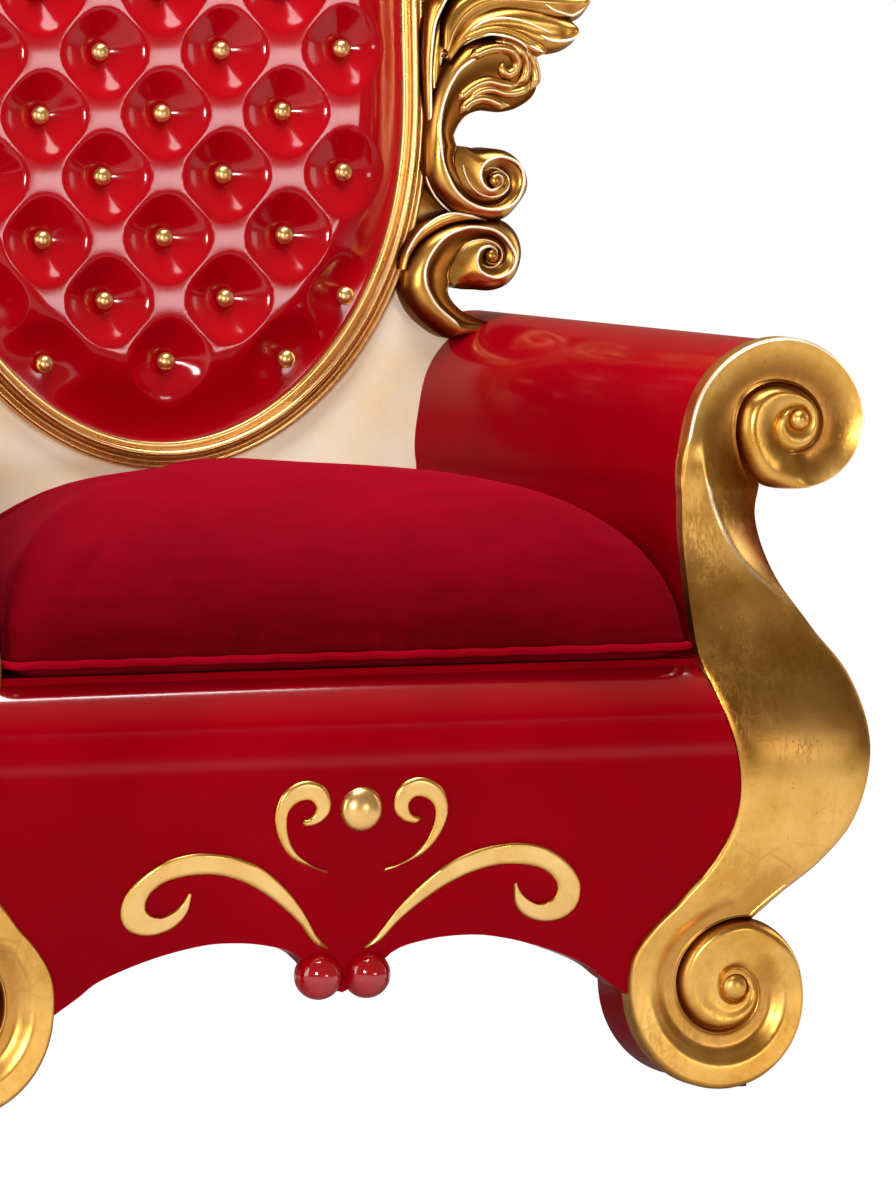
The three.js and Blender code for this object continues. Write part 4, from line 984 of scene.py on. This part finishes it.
def lobe(low, high, flutes, cols=49, rows=90):
    """One acanthus lobe: swollen between its edges, with soft flutes."""
    u = np.tile((1 - np.cos(np.linspace(0, np.pi, cols))) / 2, (rows + 1, 1))
    t = np.linspace(0, 1, rows + 1)[:, None]
    swell = 11 * np.abs(2 * u - 1) ** 2.6
    wave = 1.6 * np.cos(np.pi * flutes * u) ** 2 * ease(t * 5) * (1 - ease((t - 0.82) / 0.18))
    tip = -5 * np.exp(-((t - 0.86) / 0.1) ** 2) * np.exp(-((u - 0.5) / 0.3) ** 2)
    # The stored tone leaves out the tip and doubles the flutes, so painted shade lies deeper in the
    # flutes than the carving.
    return curve(low, rows), curve(high, rows), u, swell + wave + tip, swell + 2 * wave


def turned_by(points, degrees, origin, target, flip=1):
    """Turned in the plane of the back about an origin, which then moves to a target."""
    x, y, z = (points - np.array([origin[0], 0, origin[1]])).T
    z = flip * z
    a = math.radians(degrees)
    c, s = math.cos(a), math.sin(a)
    return np.stack([x * c + z * s + target[0], y, z * c - x * s + target[1]], 1)


def carried_up(points):
    """Upside down and turned 15 degrees, to follow the oval upwards."""
    return turned_by(points, -15, (300, 1165), (282, 1178), flip=-1)


def carried_round(points):
    """Turned 80 degrees about the middle of the oval and moved out, for the crown."""
    return turned_by(points, -80, (0, OVAL_Z), (10, OVAL_Z + 30))


def lean(points):
    """Moves points given in the upright plane of the back to their place on the leaning back."""
    return on_back(points[:, 0], points[:, 1], points[:, 2])


def unmoved(points):
    """Leaves an ornament where it was drawn."""
    return points


def carving(name, skin, carry=unmoved, lines=()):
    """Adds a carved ornament with raised lines and its mirror image, flat against the plate."""
    surface, faces, depth = skin
    points, faces, first = flat_backed(surface, faces, PLATE_FRONT + SUNK)
    depth = depth[first]
    for line in lines:
        # The bead's stored tone brings its painted highlight into the depth field.
        more, bar, light = bead(*line, surface)
        faces = faces + [[i + len(points) for i in f] for f in bar]
        points, depth = np.concatenate([points, more]), np.concatenate([depth, light])
    add_pair(name, lean(carry(points)), faces, ["back_frame"], "gold_leaf", FRAME_GOLD, smooth=50,
             fields={"depth": depth})


# %% Placing the carving
carving("lower_scroll", c_scroll(LOWER_C, LOWER_C_STEM, 30, LOWER_LINES[0][2]), lines=LOWER_LINES)
for name, proud, carry in (("upper", 34, unmoved), ("shoulder", 30, carried_up),
                           ("crown", 28, carried_round)):
    skin = c_scroll(UPPER_C, UPPER_C_STEM, proud, UPPER_LINES[0][2])
    carving(name + "_scroll", skin, carry, UPPER_LINES)
for name, proud, low, high, line in PLAIN_BANDS:
    near, far, u, depth, tone = lobe(low, high, 0.5)
    carving(name, relief(near, far, u, depth, proud, tone), lines=[(1.6, 2.5, line)])
for k, (proud, flutes, low, high) in enumerate(LEAF_LOBES):
    near, far, u, depth, tone = lobe(low, high, flutes)
    for name, lift, carry in (("leaf", proud, unmoved), ("shoulder", proud - 8, carried_up)):
        skin = relief(near, far, u, depth, lift, tone)
        carving("%s_lobe_%d" % (name, k + 1), skin, carry, LOBE_LINES[k])
print("carving placed")


# %% Crest
def crest_lobe(a, length, foot=1560, width=33):
    """One petal of the crest: a tongue whose outline (w sin b, l cos b) is turned by angle a."""
    b = np.linspace(0, 2 * np.pi, 41)[:-1]
    rings = []
    for k in range(15):
        lift = max(0, k - 2) / 12
        size = math.cos(lift * math.pi / 2 * 0.98) if k > 2 else 1
        wall = PLATE_FRONT + 16 - (PLATE_FRONT + 26) * k / 2
        y = wall if k <= 2 else -10 - 20 * math.sin(lift * math.pi / 2)
        along = length / 2 + length / 2 * np.cos(b) * size
        side = width * np.sin(b) * size * (0.35 + 0.65 * along / length)
        rings.append(np.stack([side * math.cos(a) + along * math.sin(a), np.full(40, y),
                               foot - 30 + along * math.cos(a) - side * math.sin(a)], 1))
    return loft(rings)


PETALS, FAN = 7, 62           # number of petals, and the half angle of the fan
for k in range(PETALS):
    a = math.radians(-FAN + 2 * FAN * k / (PETALS - 1))
    points, faces = crest_lobe(a, 235 * (0.72 + 0.28 * math.cos(1.2 * a)))
    name = "crest_petal_%d" % (k + 1)
    add_piece(name, lean(points), faces, ["back_frame"], "gold_leaf", FRAME_GOLD)
print("crest:", PETALS, "petals")

# %% Plate and shell
SKIRT = [(FRAME_SIDE - 8, SEAT_TOP + FIT), (FRAME_SIDE, 640), (FRAME_SIDE - 4, 770), (350, 798),
         (324, 828), (325, 858), (356, 880), (384, 898), (356, 916), (338, 945), (333, 985),
         (336, 1030), (340, 1110)]


def plate():
    """Flat plate: the widened oval joined to the skirt behind the arms."""
    ring = oval(64, np.linspace(-np.pi / 2, np.pi / 2, 200))
    skirt = curve(SKIRT, 120)
    reach = np.interp(skirt[:, 1], ring[:, 1], ring[:, 0])
    skirt = skirt[:np.argmax((reach > skirt[:, 0]) & (skirt[:, 1] > 920))]
    side = np.concatenate([skirt, ring[ring[:, 1] > skirt[-1, 1]]])
    outline = np.concatenate([side, side[::-1] * np.array([-1, 1])])
    rings = [np.insert(inset(outline, s), 1, y, axis=1) for s, y in
             ((2, PLATE_FRONT), (0, PLATE_FRONT + 2), (0, PLATE_FRONT + PLATE_THICK))]
    return loft([lean(r) for r in rings])


add_piece("back_plate", *plate(), ["back_frame"], "gold_leaf", PLATE_GOLD)


DOME_INSET, REARMOST = 90, 400


def back_shell():
    """Domed shell behind the plate: it shrinks as (1 - cos a)^1.6 while its depth grows as sin a."""
    rear = PLATE_FRONT + PLATE_THICK + FIT

    def ring(shrink, y):
        arc = oval(52 - shrink, np.linspace(0, np.pi, 121))
        arc = arc[arc[:, 1] > OVAL_Z + 10]
        side = curve([(330 - shrink, OVAL_Z), (342 - shrink, 800),
                      (384 - shrink, SEAT_TOP + FIT)], 30)
        flat = np.concatenate([side[::-1], arc, side * np.array([-1, 1])])
        return np.insert(flat, 1, y, axis=1)

    top = ring(DOME_INSET, 0)[:, 2].max()
    dome = REARMOST - on_back(0, rear, top)[1]
    rings = [ring(DOME_INSET * (1 - math.cos(a)) ** 1.6, rear + dome * math.sin(a))
             for a in np.linspace(0, np.pi / 2, 20)]
    return loft([lean(r) for r in rings])


add_piece("back_shell", *back_shell(), ["back_shell"], "red_lacquer", RED)
print("plate and shell done")

# %% [markdown]
# ## Moulding, pad and buttons
# The moulding is a milled frame of four round beads, so one section is swept round the oval.
# The pad is patent leather drawn down by buttons. Cloth could be simulated for it, but a formula
# for the bowls keeps the net of folds even and the surface taut.

# %% Moulding
MOULDING_BEADS = ((3.2, 3.0, 4.0), (12.0, 5.6, 14.0), (20.6, 2.6, 8.0), (26.6, 3.2, 7.5))


def oval_moulding(sides=480):
    """Beaded section swept round the oval; each bead is an arc standing on the base line."""
    t = np.radians(np.linspace(170, 10, 15))
    section = [(0, PLATE_FRONT - FIT), (0, -3)]
    for middle, half, tall in MOULDING_BEADS:
        section += [(middle + half * np.cos(a), -3 - (tall - 3) * np.sin(a)) for a in t]
    section += [(30, -3), (30, PLATE_FRONT - FIT)]
    angle = np.linspace(0, 2 * np.pi, sides + 1)[:-1]
    rings = [np.insert(oval(o, angle), 1, y, axis=1) for o, y in section]
    points = lean(np.concatenate(rings))
    return points, grid_faces(len(rings), sides, wrap_rows=True, wrap_cols=True).tolist()


add_piece("oval_moulding", *oval_moulding(), ["oval_moulding"], "bright_gold", BRIGHT_GOLD,
          smooth=75)
print("moulding:", len(MOULDING_BEADS), "beads")

# %% Pad
BUTTON_STEP, ROW_STEP, FIRST_ROW = 70.5, 68, 764
BUTTON_PLACES = [(c * BUTTON_STEP, FIRST_ROW + r * ROW_STEP) for r in range(11)
                 for c in ((-2, 0, 2) if r % 2 == 0 else (-3, -1, 1, 3))]
BOWL, BOWL_DEPTH = 47.6, 23.5


def pad_depth(x, z):
    """Tufted face: bowls 1 - (r/R)^1.25 at the buttons, a crest net between, flat at the rim."""
    rho = np.hypot(x, z - OVAL_Z) / np.linalg.norm(
        oval(0, np.arctan2(z - OVAL_Z, x)) - np.array([0, OVAL_Z]), axis=-1)
    edge = ease((1 - rho) / 0.2)
    deep = np.zeros_like(x)
    for bx, bz in BUTTON_PLACES:
        r, a = np.hypot(x - bx, z - bz), np.arctan2(z - bz, x - bx)
        share = r / (BOWL + 1.8 * np.cos(4 * a))
        deep = np.maximum(deep, 1 - share ** 1.25)
    bowl = 0.5 * (deep + np.sqrt(deep ** 2 + 0.16 ** 2)) - 0.03
    u, v = np.cos(np.pi * x / BUTTON_STEP), np.cos(np.pi * (z - FIRST_ROW) / ROW_STEP)
    crown = 1.2 * np.clip(-u * v, 0, 1)
    return 4 - edge * (BOWL_DEPTH * (1 - np.clip(bowl, 0, 1)) + crown)


def back_pad(nx=220, nz=320):
    """Square grid laid over the oval: disc point (p, q) = (u sqrt(1 - v^2/2), v sqrt(1 - u^2/2))."""
    u, v = np.meshgrid(np.linspace(-1, 1, nx), np.linspace(-1, 1, nz), indexing="ij")
    p, q = u * np.sqrt(1 - v * v / 2), v * np.sqrt(1 - u * u / 2)
    angle = np.arctan2(q, p)
    rim = oval(-FIT, angle) - np.array([0, OVAL_Z])
    flat = rim * np.hypot(p, q)[..., None] + np.array([0, OVAL_Z])
    x, z = flat[..., 0].ravel(), flat[..., 1].ravel()
    points = np.stack([x, pad_depth(x, z), z], 1)
    points, faces, _ = flat_backed(points, grid_faces(nx, nz).tolist(), PLATE_FRONT - FIT)
    return lean(points), faces


add_piece("back_pad", *back_pad(), ["back_pad"], "patent_red", PATENT, soft=0.9)
print("pad done")


# %% Buttons
def ball(centre, radii, rows, cols):
    """Ellipsoid: centre + radii (sin s cos t, -cos s, sin s sin t), with a point at each pole."""
    a = np.linspace(0, np.pi, rows + 1)[1:-1]
    b = np.linspace(0, 2 * np.pi, cols + 1)[:-1]
    ring = [[(math.sin(s) * math.cos(t), -math.cos(s), math.sin(s) * math.sin(t)) for t in b]
            for s in a]
    points = np.concatenate([np.array(ring).reshape(-1, 3), [[0, -1, 0], [0, 1, 0]]])
    points = points * radii + centre
    faces = grid_faces(len(a), cols, wrap_cols=True).tolist()
    n = len(a) * cols
    faces += [[k, (k + 1) % cols, n] for k in range(cols)]
    faces += [[n - cols + (k + 1) % cols, n - cols + k, n + 1] for k in range(cols)]
    return points, faces


for k, (x, z) in enumerate(BUTTON_PLACES):
    points, faces = ball(np.array([x, -5.6, z]), np.array([10.3, 7.8, 10.3]), 12, 24)
    name = "button_%02d" % (k + 1)
    add_piece(name, lean(points), faces, [name], "bright_gold", BRIGHT_GOLD)
print("back done:", len(BUTTON_PLACES), "buttons")

# %% [markdown]
# ## The cushion
# Level outlines are rounded trapeziums whose sides pull in between the corners. Their shrink
# over the height gives a tucked base, a seam, a swelling front and a crowned top. The crown
# is then relaxed as cloth under a little pressure, with everything below the seam held, because
# a plain formula looks hard where velvet over down is slack.

# %% Cushion form
CUSHION_BASE = SEAT_TOP + FIT
SEAM_UP = 17
CUSHION_LEVELS = [(16, 0), (8, 4), (2, 9), (-3, 13), (-8, 17), (-5, 26), (-2, 52), (8, 88),
                  (28, 122), (58, 150), (100, 174), (150, 188), (205, 196), (270, 199)]


def cushion_plan(shrink, corner=34, per_corner=16, per_side=34, pull=5):
    """Rounded trapezium, moved inwards by shrink, with sides bowed in by pull."""
    w0, w1, y0, y1 = 379 - shrink, 284 - shrink, -361 + shrink * 0.9, 205 - shrink
    arcs = []
    for x, y, start in ((w0, y0, 270), (w1, y1, 0), (-w1, y1, 90), (-w0, y0, 180)):
        a = np.radians(start + np.linspace(0, 90, per_corner))
        arcs.append(np.stack([x - np.sign(x) * corner + corner * np.cos(a),
                              y - np.sign(y) * corner + corner * np.sin(a)], 1))
    points = []
    for k in range(4):
        points.append(arcs[k])
        a, b = arcs[k][-1], arcs[(k + 1) % 4][0]
        t = np.linspace(0, 1, per_side + 2)[1:-1, None]
        across = np.array([-(b - a)[1], (b - a)[0]]) / np.linalg.norm(b - a)
        points.append(a + (b - a) * t + across * pull * np.sin(np.pi * t))
    return np.concatenate(points)


def cushion():
    """Closed skin over the level outlines; corners are tightest at the seam."""
    shrink, up = curve(CUSHION_LEVELS, 78).T
    corner = 22 + 30 * ease(np.abs(up - SEAM_UP) / 110)
    return loft([np.insert(cushion_plan(s, c), 2, CUSHION_BASE + max(0, u), axis=1)
                 for s, u, c in zip(shrink, up, corner)])


print("cushion form:", len(cushion()[0]), "points")


# %% Cloth
def evaluated(holder):
    """Vertices in mm and faces of an object with its modifiers."""
    mesh = holder.evaluated_get(bpy.context.evaluated_depsgraph_get()).to_mesh()
    flat = np.empty(len(mesh.vertices) * 3)
    mesh.vertices.foreach_get("co", flat)
    return flat.reshape(-1, 3) * 1000, [list(f.vertices) for f in mesh.polygons]


def holder_of(points, faces):
    """A temporary object in the scene."""
    mesh = bpy.data.meshes.new("temporary")
    mesh.from_pydata((points / 1000).tolist(), [], faces)
    holder = bpy.data.objects.new("temporary", mesh)
    bpy.context.scene.collection.objects.link(holder)
    return holder


def relaxed(points, faces, held, voxel=0.008, pressure=4.0, most=22.0, frames=20):
    """Even remesh, then cloth under pressure for some frames; no point moves more than the cap."""
    holder = holder_of(points, faces)
    remesh = holder.modifiers.new("remesh", "REMESH")
    remesh.mode = "VOXEL"
    remesh.voxel_size = voxel
    start, even = evaluated(holder)
    bpy.data.objects.remove(holder)
    holder = holder_of(start, even)
    pinned = holder.vertex_groups.new(name="held")
    pinned.add([int(i) for i in np.flatnonzero(held(start))], 1.0, "REPLACE")
    cloth = holder.modifiers.new("cloth", "CLOTH")
    for key, value in dict(use_pressure=True, uniform_pressure_force=pressure, quality=5, mass=0.4,
                           tension_stiffness=20, compression_stiffness=12, bending_stiffness=0.6,
                           vertex_group_mass="held").items():
        setattr(cloth.settings, key, value)
    cloth.settings.effector_weights.gravity = 0
    cloth.point_cache.frame_start, cloth.point_cache.frame_end = 1, frames
    for step in range(1, frames + 1):
        bpy.context.scene.frame_set(step)
    end, _ = evaluated(holder)
    bpy.data.objects.remove(holder)
    bpy.context.scene.frame_set(1)
    move = end - start
    far = np.linalg.norm(move, axis=1)[:, None]
    return start + move * np.minimum(1, most / np.maximum(far, 1e-6)), even


def subdivided(points, faces):
    """One smooth subdivision."""
    holder = holder_of(points, faces)
    smooth = holder.modifiers.new("smooth", "SUBSURF")
    smooth.levels = smooth.render_levels = 1
    result = evaluated(holder)
    bpy.data.objects.remove(holder)
    return result


print("cloth helpers ready")

# %% Cushion
points, faces = cushion()
crown = 1 - 0.03 * ease((points[:, 2] - CUSHION_BASE - 60) / 100)
points[:, 2] = CUSHION_BASE + (points[:, 2] - CUSHION_BASE) * crown
points, faces = relaxed(points, faces, lambda p: p[:, 2] < CUSHION_BASE + SEAM_UP + 6)
points, faces = subdivided(points, faces)
up = points[:, 2] - CUSHION_BASE
round_it = np.arctan2(points[:, 1] + 80, points[:, 0])
pucker = np.sin(62 * round_it + 3 * np.sin(9 * round_it)) * np.sin(23 * round_it + 1)
near_seam = np.exp(-((up - SEAM_UP - 14) / 16) ** 2)
away = points - np.array([0, -80, 0])
away[:, 2] = 0
away /= np.linalg.norm(away, axis=1)[:, None]
points = points - away * (1.3 * (1 + pucker) * near_seam)[:, None]
add_piece("seat_cushion", points, faces, ["seat_cushion"], "crimson_velvet", VELVET,
          soft=0.9, smooth=80)
print("cushion:", len(points), "points")


# %% Piping
def welt(path, radius_out, radius_up, sides=12):
    """Tube of oval section along a closed level path: path + out a cos t + up b sin t."""
    along = np.roll(path, -1, 0) - np.roll(path, 1, 0)
    along /= np.linalg.norm(along, axis=1)[:, None]
    out = np.stack([along[:, 1], -along[:, 0], np.zeros(len(path))], 1)
    up = np.array([0, 0, 1])
    rings = [path + out * radius_out * math.cos(a) + up * radius_up * math.sin(a)
             for a in np.linspace(0, 2 * np.pi, sides + 1)[:-1]]
    faces = grid_faces(sides, len(path), wrap_rows=True, wrap_cols=True)
    return np.concatenate(rings), faces.tolist()


def even_loop(loop, spacing):
    """A closed outline resampled at even spacing."""
    closed = np.concatenate([loop, loop[:1]])
    run = np.concatenate([[0], np.cumsum(np.linalg.norm(np.diff(closed, axis=0), axis=1))])
    at = np.linspace(0, run[-1], round(run[-1] / spacing) + 1)[:-1]
    return np.stack([np.interp(at, run, closed[:, k]) for k in range(2)], 1)


seam = even_loop(cushion_plan(-9, 22), 6)
seam = np.insert(seam, 2, CUSHION_BASE + SEAM_UP - 3, axis=1)
seam[:, 2] += 0.5 * np.sin(np.arange(len(seam)) * 0.7)
add_piece("cushion_piping", *welt(seam, 4.6, 4.2), ["seat_cushion"], "crimson_velvet", PIPING_PAINTED_HIGHLIGHT,
          smooth=80, soft=0.9)
print("piping:", len(seam), "stations")

# %% [markdown]
# ## Apron ornaments
# Thin gilded scrolls, a boss and two berries are glued to the swollen apron. They could be flat
# curves with a bevel, but bands between two edges follow the swell of the apron exactly.

# %% Ornaments
BIG_SCROLL = ([(20, 169), (35, 183), (55, 212), (79, 238), (106, 259), (133, 271), (160, 277),
               (188, 278), (218, 270), (243, 253), (259, 231), (259, 208), (246, 194), (224, 190),
               (201, 197), (187, 212), (183, 233)],
              [(24, 168), (39, 177), (57, 198), (82, 219), (109, 237), (136, 249), (164, 255),
               (192, 254), (215, 248), (230, 236), (234, 222), (227, 213), (215, 210), (206, 213),
               (197, 219), (190, 227), (186, 235)])
HEART_SCROLL = ([(33, 252), (49, 258), (75, 271), (91, 291), (98, 315), (92, 338), (77, 350),
                 (61, 353), (45, 347), (37, 334), (37, 319), (47, 308), (60, 304), (66, 306)],
                [(33, 255), (54, 263), (73, 279), (82, 297), (84, 315), (79, 326), (69, 332),
                 (59, 332), (53, 326), (53, 320), (56, 315), (60, 312), (64, 311), (67, 309)])


def apron_scroll(shape, rows, cols=11, proud=6, bevel=3.0):
    """Thin flat scroll on the swollen apron; its edges fall as 2.4 (1 - distance / bevel)^1.5."""
    near, far = curve(shape[0], rows), curve(shape[1], rows)
    width = np.linalg.norm(near - far, axis=1)[:, None]
    u = (1 - np.cos(np.linspace(0, np.pi, cols))) / 2
    flat = near[:, None] + (far - near)[:, None] * u[:, None]
    rim = np.minimum(u, 1 - u) * width
    depth = 2.4 * np.clip(1 - rim / bevel, 0, 1) ** 1.5
    apron_y = front_y(flat[..., 1]) + APRON_RECESS
    points = np.insert(flat, 1, apron_y - proud + depth, axis=-1)
    back = np.insert(flat, 1, apron_y - FIT, axis=-1)
    faces = grid_faces(*depth.shape).tolist()
    points, faces, first = two_sided(points.reshape(-1, 3), back.reshape(-1, 3), faces)
    return points, faces, depth.ravel()[first]


for name, shape, rows in (("apron_scroll", BIG_SCROLL, 160), ("heart_scroll", HEART_SCROLL, 120)):
    points, faces, depth = apron_scroll(shape, rows)
    add_pair(name, points, faces, None, "pale_gold", PALE_GOLD, fields={"depth": depth})
BOSS_Z, BERRY_Z = 321, 139
middle = np.array([0, float(front_y(BOSS_Z)) + APRON_RECESS, BOSS_Z])
points, faces = ball(middle, np.array([23.5, 14, 23.5]), 24, 48)
points[:, 1] = np.minimum(points[:, 1], front_y(points[:, 2]) + APRON_RECESS - FIT)
add_piece("apron_boss", points, faces, ["apron_boss"], "bright_gold", BRIGHT_GOLD)
for side, x in (("right", 27.5), ("left", -27.5)):
    middle = np.array([x, float(front_y(BERRY_Z)) + APRON_RECESS + 3, BERRY_Z])
    points, faces = ball(middle, np.array([26.0, 26, 26]), 28, 48)
    add_piece("apron_berry_" + side, points, faces, ["apron_berry_" + side], "red_lacquer", GLOSS)
print("ornaments done")

# %% [markdown]
# ## Studio
# Gold and lacquer show what stands round them. A far card in front, softboxes at the sides and
# two strips above give long clean reflections, and a pale floor fills the underside.

# %% Floor and world
floor_mesh = bpy.data.meshes.new("floor")
reach = 40
corners = [(x * reach, y * reach, -0.001) for x, y in ((-1, -1), (1, -1), (1, 1), (-1, 1))]
floor_mesh.from_pydata(corners, [], [(0, 1, 2, 3)])
floor = bpy.data.objects.new("floor", floor_mesh)
bpy.context.scene.collection.objects.link(floor)
pale, pale_shader = new_material("floor_pale", (0.7, 0.7, 0.7), 0.9)
net = Net(pale.node_tree)
seen = net.node("ShaderNodeLightPath").outputs["Is Camera Ray"]
white = net.node("ShaderNodeEmission", {"Color": (1, 1, 1, 1), "Strength": 1.1}).outputs[0]
mixed = net.node("ShaderNodeMixShader",
                 {0: net.mul(seen, 0.9), 1: pale_shader.outputs[0], 2: white}).outputs[0]
net.join(mixed, pale.node_tree.nodes["Material Output"].inputs["Surface"])
floor_mesh.materials.append(pale)

world = bpy.data.worlds.new("studio")
bpy.context.scene.world = world
world.use_nodes = True
net = Net(world.node_tree)
seen = net.node("ShaderNodeLightPath").outputs["Is Camera Ray"]
background = world.node_tree.nodes["Background"]
background.inputs["Color"].default_value = (1, 1, 1, 1)
net.join(net.span(seen, 0, 1, 0.26, 1.0), background.inputs["Strength"])
net.join(net.blend(seen, (1.0, 0.68, 0.46), (1, 1, 1)), background.inputs["Color"])
print("floor and world done")


# %% Lights
def area_light(name, place, aim, size, power):
    """Rectangular softbox aimed at a point."""
    data = bpy.data.lights.new(name, "AREA")
    data.shape = "RECTANGLE"
    data.size, data.size_y = size
    data.energy = power
    lamp = bpy.data.objects.new(name, data)
    bpy.context.scene.collection.objects.link(lamp)
    lamp.location = place
    away = np.array(place, float) - np.array(aim, float)
    yaw = math.atan2(away[0], -away[1])
    tilt = math.atan2(math.hypot(away[0], away[1]), away[2])
    lamp.rotation_euler = (tilt, 0, yaw)


LIGHTS = (("front_card", (7.3, -18.5, 1.4), (0.1, 0.2, 1.1), (4.2, 1.7), 300),
          ("camera_side", (-2.0, -4.2, 1.3), (0, 0, 0.8), (0.7, 0.7), 92),
          ("left_wall", (-4.2, -0.6, 1.6), (0, 0, 0.8), (2.6, 2.8), 95),
          ("top", (0.0, 1.1, 3.7), (0, 0.1, 0.5), (3.6, 1.2), 30),
          ("top_strip", (0.5, -0.4, 3.3), (0.4, -0.3, 0.5), (3.0, 1.05), 115),
          ("right_wall", (4.2, 0.2, 1.6), (0, 0, 0.8), (2.0, 2.4), 40))
for light in LIGHTS:
    area_light(*light)
print("lights:", len(LIGHTS))

# %% Camera
SENSOR, FRAME_HEIGHT, FOCAL_PER_METRE = 36, 1195, 942
TARGET = np.array([0.0935, -0.40, 0.5445])
AZIMUTH, ELEVATION, DISTANCE = math.radians(-21), math.radians(4.2), 16.0
back = np.array([math.sin(AZIMUTH) * math.cos(ELEVATION), -math.cos(AZIMUTH) * math.cos(ELEVATION),
                 math.sin(ELEVATION)])
camera_data = bpy.data.cameras.new("camera")
camera_data.sensor_fit = "VERTICAL"
camera_data.sensor_height = camera_data.sensor_width = SENSOR
camera_data.lens = SENSOR * DISTANCE * FOCAL_PER_METRE / FRAME_HEIGHT
camera_data.clip_end = 200
camera = bpy.data.objects.new("camera", camera_data)
bpy.context.scene.collection.objects.link(camera)
camera.location = TARGET + back * DISTANCE
camera.rotation_euler = (math.pi / 2 - ELEVATION, 0, AZIMUTH)
bpy.context.scene.camera = camera
bpy.context.scene.view_settings.view_transform = "Standard"
print("camera lens", camera_data.lens, "mm")
